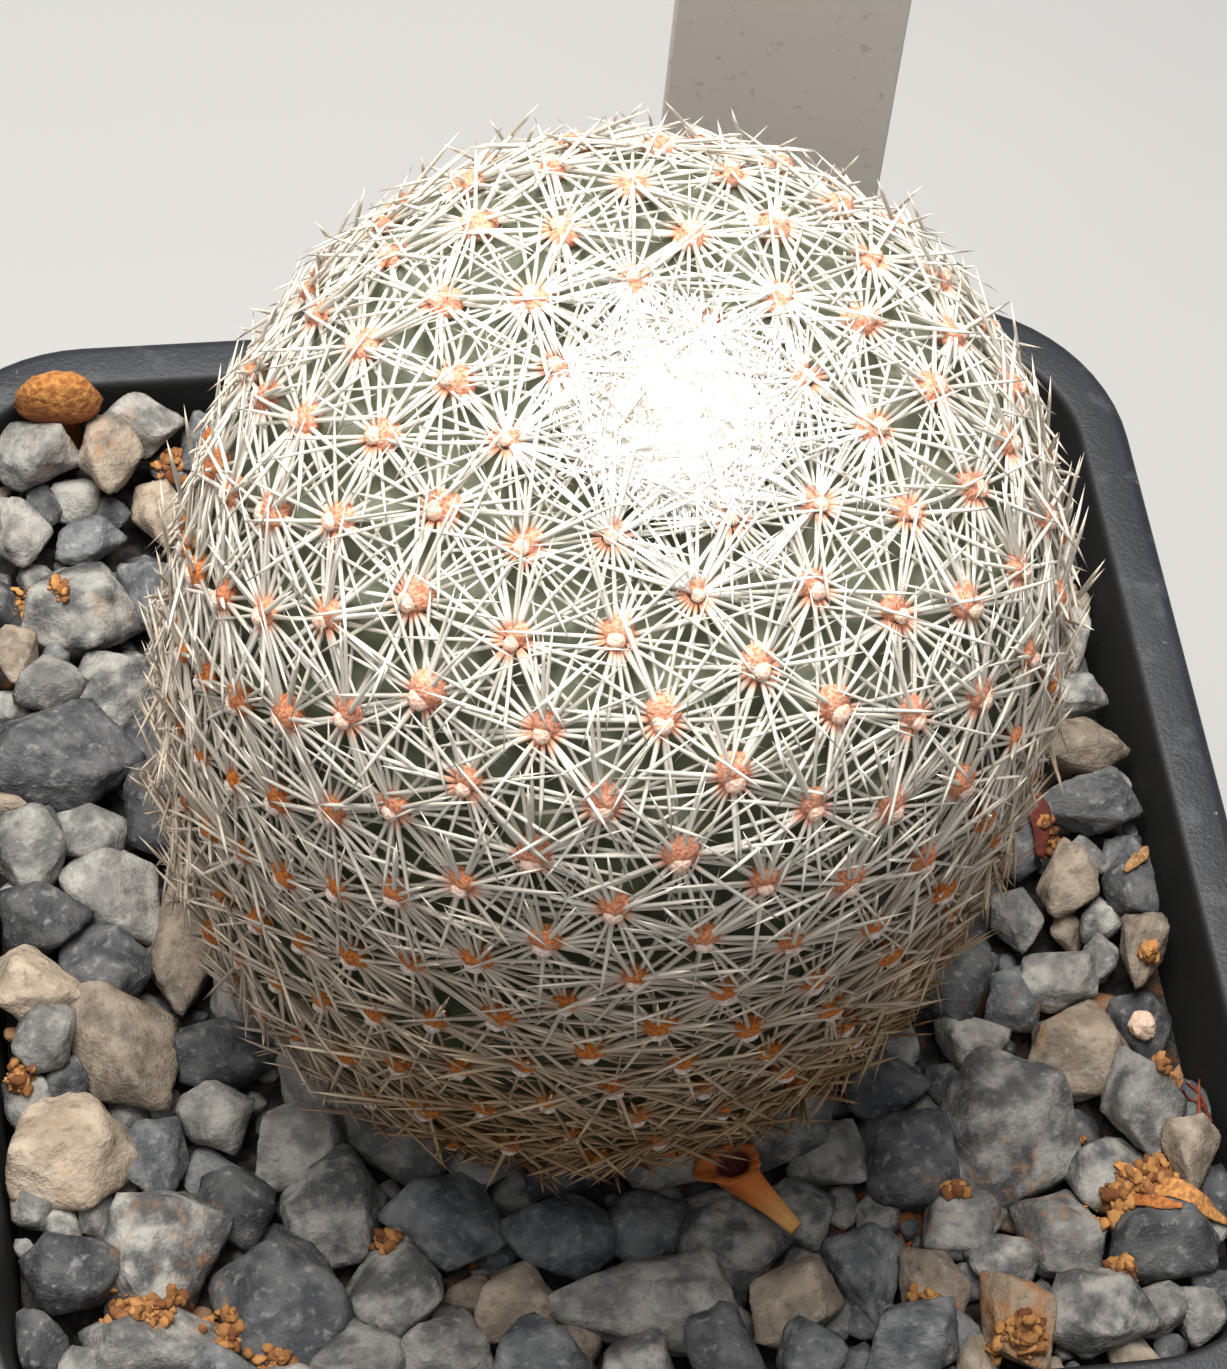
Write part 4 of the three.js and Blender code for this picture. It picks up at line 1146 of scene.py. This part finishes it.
spine_models = gathered("spine_models", [spine_mesh(f"spine_{i}", bow) for i, bow in enumerate(SPINE_BOWS)])


def grow_needles(name, places, rows, finish, **sizes):
    """Grows needles of the given kind on cushions, with their lengths given in millimetres."""
    for key in ("Length", "Thickness", "Root_reach", "Root_rise", "Lowest_tip"):
        sizes[key] *= MM
    piece = needles.grow(name, seed_points(name, places, **rows), finish, Models=spine_models, **sizes)
    fit(piece, finish, "cactus")


horn = Finish("spine_horn", Roughness=0.42)
along = horn.attribute("along")
age = horn.attribute("age")
streak = horn.attribute("tone")
# Spines on the left of the plant, below x of -20 mm, take less of the old tan and rust colour; from -9 mm on
# they take all of it.
off_left_side = horn.step(horn.place.part("X"), -20 * MM, -9 * MM)
# Spines turn tan with age down the plant: real ageing, and in the middle of the plant also painted shade that
# dims spines the light reaches less.
horn_age_and_shade = horn.step(age, 0.02, 0.76) * (off_left_side * 0.4 + 0.6)
horn_tone = horn.mix(streak, (234, 231, 222), (206, 201, 188))
horn_tone = horn.mix(horn_age_and_shade, horn_tone, horn.mix(streak, (192, 162, 120), (126, 90, 54)))
horn_tone = horn.mix(horn.step(age, 0.78, 0.96) * (off_left_side * 0.4 + 0.4), horn_tone, (112, 62, 36))
root_share = (1 - horn.step(along, 0.04, 0.17)) * (1 - horn.step(age, 0.15, 0.5) * 0.75)
horn.colour(horn.mix(root_share, horn_tone, (228, 168, 138)))
horn.relief(horn.noise(0.12), 0.01)

SPINE_KINDS = {
    "radial_spines": dict(
        Spines_a_cushion=24, First_bearing=0.0, Sweep=2 * math.pi, Swing=0.15, Lowest_rise=-0.26,
        Highest_rise=0.16, Length=4.4, Length_spread=0.2, Thickness=0.22, Root_reach=0.4, Root_rise=0.3,
    ),
    "central_spines": dict(
        Spines_a_cushion=2, First_bearing=-0.75, Sweep=1.5, Swing=0.3, Lowest_rise=0.06, Highest_rise=0.32,
        Length=4.6, Length_spread=0.22, Thickness=0.23, Root_reach=0.2, Root_rise=0.45,
    ),
}
OLD_GROWTH = dict(Swing=0.34, Highest_rise=0.32, Length_spread=0.3)
half_way = len(seats) // 2
for kind, sizes in SPINE_KINDS.items():
    for half, part, changes in (
        ("upper", slice(0, half_way), {}),
        ("lower", slice(half_way, None), OLD_GROWTH),
    ):
        rows = {key: values[part] for key, values in cushion_rows.items()}
        grow_needles(f"{half}_{kind}", seats[part], rows, horn, Lowest_tip=LOWEST_TIP_Z, **(sizes | changes))

# Crown: the growing point, packed with white wool and soft young spines.
# The hairs grow from the youngest cushions and fill the spaces between them.
CROWN_RADIUS = 3.7
CROWN_TUFTS = 300
CROWN_HEAP = 1.2
CROWN_AROUND = 60
YOUNG_CUSHIONS = 17


def crown_ring(share, lift):
    radius = CROWN_RADIUS * share
    z = UPPER_HEIGHT * (1 - (radius / BODY_RADIUS) ** UPPER_POWER) ** (1 / UPPER_POWER)
    ring = plant_ring(radius, BODY_Z + z + lift, CROWN_AROUND)
    return leaned([(x, y, z + 0.25 * noise.noise(Vector((x, y, z)) * 0.8)) for x, y, z in ring])


heap_rows = [(1, -1.2), (1.04, -0.3)]
heap_rows += [(math.cos(angle), CROWN_HEAP * math.sin(angle)) for angle in np.linspace(0.1, 1.5, 12)]
crown_heap = loft("crown_wool_heap", [crown_ring(*row) for row in heap_rows])
down = Finish("crown_wool", Roughness=0.9)
strand = down.noise(0.3, 4)
down.colour(down.mix(strand, (255, 254, 252), (246, 241, 233)))
down.relief(strand, 0.1)
fit(crown_heap, down, "cactus")

crown_area = next(row for row in profile if row[0] > CROWN_RADIUS * 1.1)[2]
crown_frames = []
for i in range(CROWN_TUFTS):
    crown_frames.append(skin_frame(crown_area * ((i + 0.5) / CROWN_TUFTS) ** 0.6, -i * GOLDEN_ANGLE))
crown_seats, crown_turns = zip(*crown_frames)
crown_rows = {"turn": crown_turns, "youth": np.zeros(CROWN_TUFTS), "age": np.zeros(CROWN_TUFTS)}
grow_needles(
    "crown_wool", crown_seats, crown_rows, down, Spines_a_cushion=5, First_bearing=0.0, Sweep=2 * math.pi,
    Swing=0.7, Lowest_rise=0.1, Highest_rise=0.65, Length=1.5, Length_spread=0.35, Thickness=0.16,
    Root_reach=0.1, Root_rise=0.4, Lowest_tip=0.0,
)
young_rows = {key: values[:YOUNG_CUSHIONS] for key, values in cushion_rows.items()}
grow_needles(
    "young_spines", seats[:YOUNG_CUSHIONS], young_rows, down, Spines_a_cushion=22, First_bearing=-1.6,
    Sweep=3.2, Swing=0.4, Lowest_rise=-0.1, Highest_rise=0.35, Length=4.4, Length_spread=0.3,
    Thickness=0.19, Root_reach=0.3, Root_rise=0.4, Lowest_tip=0.0,
)

# Label: a bare strip of stiff plastic, cut to a point below and with round shoulders.
# It is pushed down through the gravel into the soil behind the plant and leans back a little.
LABEL_LENGTH = 100
LABEL_HALF_THICKNESS = 0.25
LABEL_POINT = 14
LABEL_LEAN = math.radians(5)
LABEL_BURIED = 44
LABEL_SHOULDER = 1.5
LABEL_EDGE = 0.12
SHOULDER_STEPS = 8


def label_ring(inset, depth):
    """One level of the strip, all round its outline, at a depth from its middle."""
    half = LABEL_WIDTH / 2 - inset
    top = LABEL_LENGTH - LABEL_BURIED - inset
    outline = [(0, inset - LABEL_BURIED), (half, LABEL_POINT - LABEL_BURIED)]
    shoulder = LABEL_SHOULDER - inset
    for side, start in ((1, 0), (-1, math.pi / 2)):
        for step in range(SHOULDER_STEPS + 1):
            angle = start + step / SHOULDER_STEPS * math.pi / 2
            x = side * (half - shoulder) + shoulder * math.cos(angle)
            outline.append((x, top - shoulder + shoulder * math.sin(angle)))
    outline.append((-half, LABEL_POINT - LABEL_BURIED))
    cos, sin = math.cos(LABEL_LEAN), math.sin(LABEL_LEAN)
    back, up = LABEL_Y - depth * cos, BED_TOP + depth * sin
    return [(LABEL_X + x, back + y * sin, up + y * cos) for x, y in outline]


label_levels = (
    (LABEL_EDGE, -LABEL_HALF_THICKNESS),
    (0, LABEL_EDGE - LABEL_HALF_THICKNESS),
    (0, LABEL_HALF_THICKNESS - LABEL_EDGE),
    (LABEL_EDGE, LABEL_HALF_THICKNESS),
)
label = loft("blank_label", [label_ring(*level) for level in label_levels])
label.data.set_sharp_from_angle(angle=math.radians(30))
strip = Finish("label_plastic", Roughness=0.48)
strip_cloud = strip.noise(14, 4)
strip_tone = strip.mix(strip_cloud, (203, 199, 191), (215, 211, 204))
strip.colour(strip.mix(strip.spots(0.7, 4, 0.62, 0.72) * 0.4, strip_tone, (150, 140, 126)))
strip.surface("Roughness", strip_cloud * 0.2 + 0.4)
strip.relief(strip_cloud + strip.noise(0.4) * 0.3, 0.03)
fit(label, strip, "plant_label")

# Spent flower: one dried flower tube that dropped on the gravel before the plant.
# It is papery and orange brown, open at the wide end, and pinched to a pale tip.
FLOWER_TIP = Vector((8.1, -22, 61.75))
FLOWER_SHRINK = 0.84
FLOWER_WAY = Vector((-0.64, 0.768, 0))
FLOWER_LOBE = -0.7
FLOWER_AROUND = 48
# Rings from the tip to the mouth and down inside: way along, lift, radius and upward tilt in degrees
FLOWER_ROWS = (
    (0, 0, 0.36, 0), (0.5, 0.08, 0.44, 5), (1.2, 0.18, 0.5, 5), (2, 0.27, 0.58, 5), (2.8, 0.34, 0.67, 8),
    (3.6, 0.42, 0.8, 12), (4.3, 0.54, 0.98, 22), (4.8, 0.72, 1.15, 38), (5.15, 0.98, 1.3, 55),
    (5.3, 1.22, 1.4, 68), (5.33, 1.34, 1.34, 72), (5.3, 1.3, 1.06, 72), (5.25, 1.16, 0.84, 70),
    (5.15, 0.92, 0.64, 62), (4.95, 0.68, 0.5, 48), (4.6, 0.5, 0.38, 30), (4.1, 0.42, 0.24, 15),
    (3.7, 0.4, 0.1, 10),
)
flower_side = Vector((-FLOWER_WAY.y, FLOWER_WAY.x, 0))
flower_mouth = FLOWER_TIP + FLOWER_WAY * 5.2 * FLOWER_SHRINK + Vector((0, 0, 0.95))


def flower_ring(along, lift, radius, tilt):
    """One ring of the tube, which turns up to its mouth. The rim is ragged, with one withered lobe."""
    tilt = math.radians(tilt)
    up = (FLOWER_WAY * math.cos(tilt) + Vector((0, 0, math.sin(tilt)))).cross(flower_side)
    at_rim = smooth_share(lift, 1, 1.3)
    middle = FLOWER_TIP + FLOWER_WAY * along * FLOWER_SHRINK + Vector((0, 0, lift))
    ring = []
    for i in range(FLOWER_AROUND):
        angle = i / FLOWER_AROUND * 2 * math.pi
        x, y = math.cos(angle), math.sin(angle)
        wrinkle = noise.noise(Vector((3 * x, 3 * y, along * 1.6)))
        lobe = max(0, math.cos(angle - FLOWER_LOBE)) ** 5 * at_rim
        reach = radius * (1 + 0.05 * math.sin(5 * angle + along) + 0.14 * wrinkle + 0.55 * lobe)
        droop = Vector((0, 0, -0.45 * lobe + 0.3 * at_rim * wrinkle))
        ring.append(middle + flower_side * (reach * x) + up * (reach * y) + droop)
    return ring


flower = loft("dry_flower_tube", [flower_ring(*row) for row in FLOWER_ROWS])
papery = Finish("dry_flower", Roughness=0.75)
fibre = papery.noise(0.35, 4)
from_mouth = papery.place.vector("DISTANCE", flower_mouth * MM)
# Inside the mouth the tube is coloured dark red brown: its dry colour and painted shade in the hollow.
mouth_shade = 1 - papery.step(from_mouth, 0.75 * MM, 1.15 * MM)
papery_tone = papery.mix(papery.step(from_mouth, 1.4 * MM, 4 * MM), (214, 112, 42), (236, 178, 104))
papery_tone = papery.mix(fibre * 0.5, papery_tone, (190, 118, 56))
papery.colour(papery.mix(mouth_shade, papery_tone, (84, 22, 8)))
papery.relief(fibre, 0.1)
fit(flower, papery, "spent_flower")

# Bark chip: a soft, crumbly piece of orange brown bark standing by the rim.
# Its swollen cap sits on a narrower foot, which is wedged down between the chips.
BARK_X = -26
BARK_Y = 30.2
BARK_Z = 66.8
BARK_AROUND = 56
BARK_ROWS = (
    (-7.3, 0.9), (-6, 1), (-4.4, 1.05), (-3, 1.15), (-2.2, 1.3), (-1.85, 1.55), (-1.65, 1.9), (-1.45, 2.2),
    (-1.15, 2.38), (-0.7, 2.4), (-0.2, 2.28), (0.3, 2.08), (0.7, 1.82), (1, 1.46), (1.16, 1), (1.22, 0.4),
)


def bark_ring(height, radius):
    ring = []
    for x, y, z in round_ring(radius, height, BARK_AROUND):
        lump = noise.noise(Vector((x * 0.5, y * 0.5, height * 0.7)))
        grain = noise.noise(Vector((x * 2.2, y * 2.2, height * 2.2)))
        swell = 1 + 0.2 * lump + 0.06 * grain
        ring.append((BARK_X + x * swell, BARK_Y + y * swell * 0.5, BARK_Z + z + 0.12 * grain))
    return ring


bark = loft("crumbly_bark", [bark_ring(*row) for row in BARK_ROWS])
bark_finish = Finish("orange_bark", Roughness=0.95)
bark_grain = bark_finish.noise(0.45, 6)
bark_height = bark_finish.step(bark_finish.height(), (BARK_Z - 1.8) * MM, (BARK_Z + 0.8) * MM)
bark_tone = bark_finish.mix(bark_height, (128, 60, 26), (190, 134, 70))
bark_finish.colour(bark_finish.mix(bark_finish.step(bark_grain, 0.3, 0.7), (138, 80, 36), bark_tone))
bark_finish.relief(bark_grain, 0.25)
fit(bark, bark_finish, "bark_chip")

# Perlite grain: one pale, porous crumb from the soil mix, lying on a stone.
# It was left there when the top dressing was poured.
GRAIN_PLACE = Vector((*GRAIN_MIDDLE, 61.5))
GRAIN_RADIUS = 0.76


def grain_reach(way):
    swell = 1 + 0.22 * rough(way, 1.3) + 0.1 * rough(way, 4, x=9)
    return (GRAIN_PLACE + way * GRAIN_RADIUS * swell) * MM


grain = show("pale_crumb", lump_mesh("pale_crumb", 4, grain_reach))
perlite = Finish("perlite", Roughness=0.9)
pores = perlite.noise(0.25, 4)
perlite.colour(perlite.mix(pores, (206, 164, 132), (246, 226, 204)))
perlite.relief(pores, 0.15)
fit(grain, perlite, "perlite_grain")

# Crumbs: flakes of dry bark and soil that have caught in the gravel, orange and red brown.
# They lie in little heaps on and between the chips, as they fell.
# Each heap: x, y, how far it spreads, and how many flakes are in it
CRUMB_HEAPS = (
    (26.6, 2.4, 1.1, 34), (25.4, 0.2, 0.8, 16), (24, -17.6, 0.5, 10), (28.2, -15.7, 0.5, 10),
    (25.7, -22.1, 1.5, 80), (24.2, -26.4, 0.6, 14), (18.2, -29.4, 1, 30), (-19.9, 28.3, 0.9, 26),
    (-28.3, 20, 0.7, 12), (-26.7, 19.2, 0.5, 8), (-30.4, -9.7, 0.9, 16), (-24.8, -24.3, 2.2, 44),
    (-20, -26.2, 1.8, 26), (-12.3, -20.9, 0.6, 14), (14, -27, 0.9, 14), (30, -14.6, 0.6, 14),
    (16.7, -20.7, 0.5, 8), (29.2, -8.5, 0.4, 7), (-27, -29, 1.6, 26), (27.4, -21.5, 1, 24),
)
CRUMBS_A_FLAKE = 6
LANDINGS = 6
CRUMB_SIZES = (0.07, 0.5)
CRUMB_TIP = 0.9
PILE_GRID = 0.35
LARGE_CRUMB = 0.2
# The young and the old colour of the flakes, and of the clouds on them
CRUMB_TONES = (
    (paint(176, 118, 60), paint(86, 48, 26)),
    (paint(208, 156, 96), paint(124, 74, 38)),
)
corners = []
sides = []
for mesh in (piece.data for piece in (stones, wedged_stones, small_stones, bed)):
    sides += [[len(corners) + corner for corner in face.vertices] for face in mesh.polygons]
    corners += [vertex.co for vertex in mesh.vertices]
gravel_top = BVHTree.FromPolygons(corners, sides)


def top_at(x, y):
    """Where a flake that is dropped at x, y comes to rest on the gravel."""
    place, *_ = gravel_top.ray_cast(Vector((x, y, 90)) * MM, Vector((0, 0, -1)))
    return place.z / MM if place else BED_TOP


draw = random_source(31337)
piled = {}
crumb_points = []
crumb_rows = []
for x, y, spread, flakes in CRUMB_HEAPS:
    for _ in range(flakes * CRUMBS_A_FLAKE):
        angle = draw() * 2 * math.pi
        reach = spread * math.sqrt(-2 * math.log(mix(0.03, 1, draw()))) * 0.62
        size = mix(*CRUMB_SIZES, draw() ** 2.8)
        long = size * mix(1, 1.7, draw())
        places = []
        for turned in range(LANDINGS):
            bearing = angle + turned * 2 * math.pi / LANDINGS
            place = (x + reach * math.cos(bearing), y + reach * math.sin(bearing))
            spot = tuple(round(value / PILE_GRID) for value in place)
            landing = top_at(*place)
            if beyond_wall(*place, landing) < -long:
                places.append((landing + piled.get(spot, 0), spot, *place))
        if not places:
            continue
        z, spot, *place = min(places)
        piled[spot] = piled.get(spot, 0) + 0.5 * size
        crumb_points.append((*place, z + 0.3 * size))
        turn = (mix(-CRUMB_TIP, CRUMB_TIP, draw()), mix(-CRUMB_TIP, CRUMB_TIP, draw()), draw() * 2 * math.pi)
        sizes = (long, size, size * mix(0.4, 0.9, draw()))
        model = math.floor(draw() * STONE_SHAPES) + STONE_SHAPES * (size > LARGE_CRUMB)
        ember = draw()
        tones = [[mix(a, b, ember) for a, b in zip(young, old)] for young, old in CRUMB_TONES]
        crumb_rows.append((turn, sizes, model, *tones, 0.9, draw() * 3))
flaky = Finish("dry_crumbs", Roughness=0.95)
flake_cloud = flaky.noise(0.4, 4)
flaky.colour(flaky.mix(flake_cloud, flaky.attribute("tint", "Color"), flaky.attribute("patch", "Color")))
flaky.relief(flake_cloud, 0.1)
crumb_models = chip_models("crumb", (1, 2), 14, 0.3)
crumbs = scattered("dry_crumbs", crumb_points, crumb_rows, flaky, crumb_models, MM)
fit(crumbs, flaky, "gravel")

# Shed strips: a dry sheath, flakes of bark and thin rootlets, dropped on the gravel.
# They are limp and light, so each one drapes over the chips under it.
# Each strip: its start, the place it bends towards, its end, its half width, half thickness and tone
STRIPS = {
    "dry_sheath": ((25, -20.4), (27.2, -22.6), (30.4, -23.8), 0.62, 0.14, (216, 150, 84)),
    "sheath_end": ((24.4, -21.6), (26, -23.4), (27.6, -23.6), 0.4, 0.12, (190, 116, 54)),
    "red_flake": ((25, 2), (25.4, 0.4), (25, -1.4), 0.6, 0.22, (104, 38, 24)),
    "bark_shard": ((31, -1.4), (30.2, -2.8), (28.9, -3.8), 0.4, 0.16, (176, 132, 84)),
    "rootlet_a": ((30, -15.8), (30.8, -16.8), (30.9, -18.4), 0.11, 0.09, (126, 50, 26)),
    "rootlet_b": ((30.8, -15.6), (30.1, -17.2), (30.4, -18.8), 0.1, 0.08, (150, 72, 36)),
    "rootlet_c": ((29.4, -16.6), (30.6, -17), (31, -17.8), 0.09, 0.08, (118, 52, 28)),
}
STRIP_STEPS = 26
STRIP_AROUND = 12
STRIP_CURL = 0.35
STRIP_SHADE = 0.72
FEEL = 0.35


def strip_middle(start, bend, end, share):
    """A place along a strip, at the height of the gravel round it."""
    x, y = (mix(mix(a, b, share), mix(b, c, share), share) for a, b, c in zip(start, bend, end))
    heights = [top_at(x + a, y + b) for a, b in ((0, 0), (FEEL, 0), (-FEEL, 0), (0, FEEL), (0, -FEEL))]
    return x, y, sorted(heights)[3]


for name, (start, bend, end, half, thick, tone) in STRIPS.items():
    middles = np.array([strip_middle(start, bend, end, i / STRIP_STEPS) for i in range(STRIP_STEPS + 1)])
    for _ in range(4):
        middles[1:-1, 2] = (middles[:-2, 2] + middles[1:-1, 2] + middles[2:, 2]) / 3
    rings = []
    for i, (x, y, z) in enumerate(middles):
        way = Vector(middles[min(i + 1, STRIP_STEPS)] - middles[max(i - 1, 0)]).normalized()
        side = way.cross(Vector((0, 0, 1))).normalized()
        up = side.cross(way)
        taper = 0.25 + 0.75 * math.sin(math.pi * (i + 1) / (STRIP_STEPS + 2))
        width = half * (taper * (1 + 0.3 * noise.noise(Vector((x, y, z)))))
        middle = Vector((x, y, z + thick))
        ring = []
        for across, through, _ in round_ring(1, 0, STRIP_AROUND):
            curl = width * STRIP_CURL * across ** 2
            ring.append(middle + side * (width * across) + up * (thick * through + curl))
        rings.append(ring)
    shed = loft(name, rings)
    shed_finish = Finish(name, Roughness=0.85)
    shed_grain = shed_finish.noise(0.3, 4)
    shaded = [level * STRIP_SHADE for level in tone]
    shed_finish.colour(shed_finish.mix(shed_finish.step(shed_grain, 0.35, 0.65), shaded, tone))
    shed_finish.relief(shed_grain, 0.08)
    fit(shed, shed_finish, "gravel")
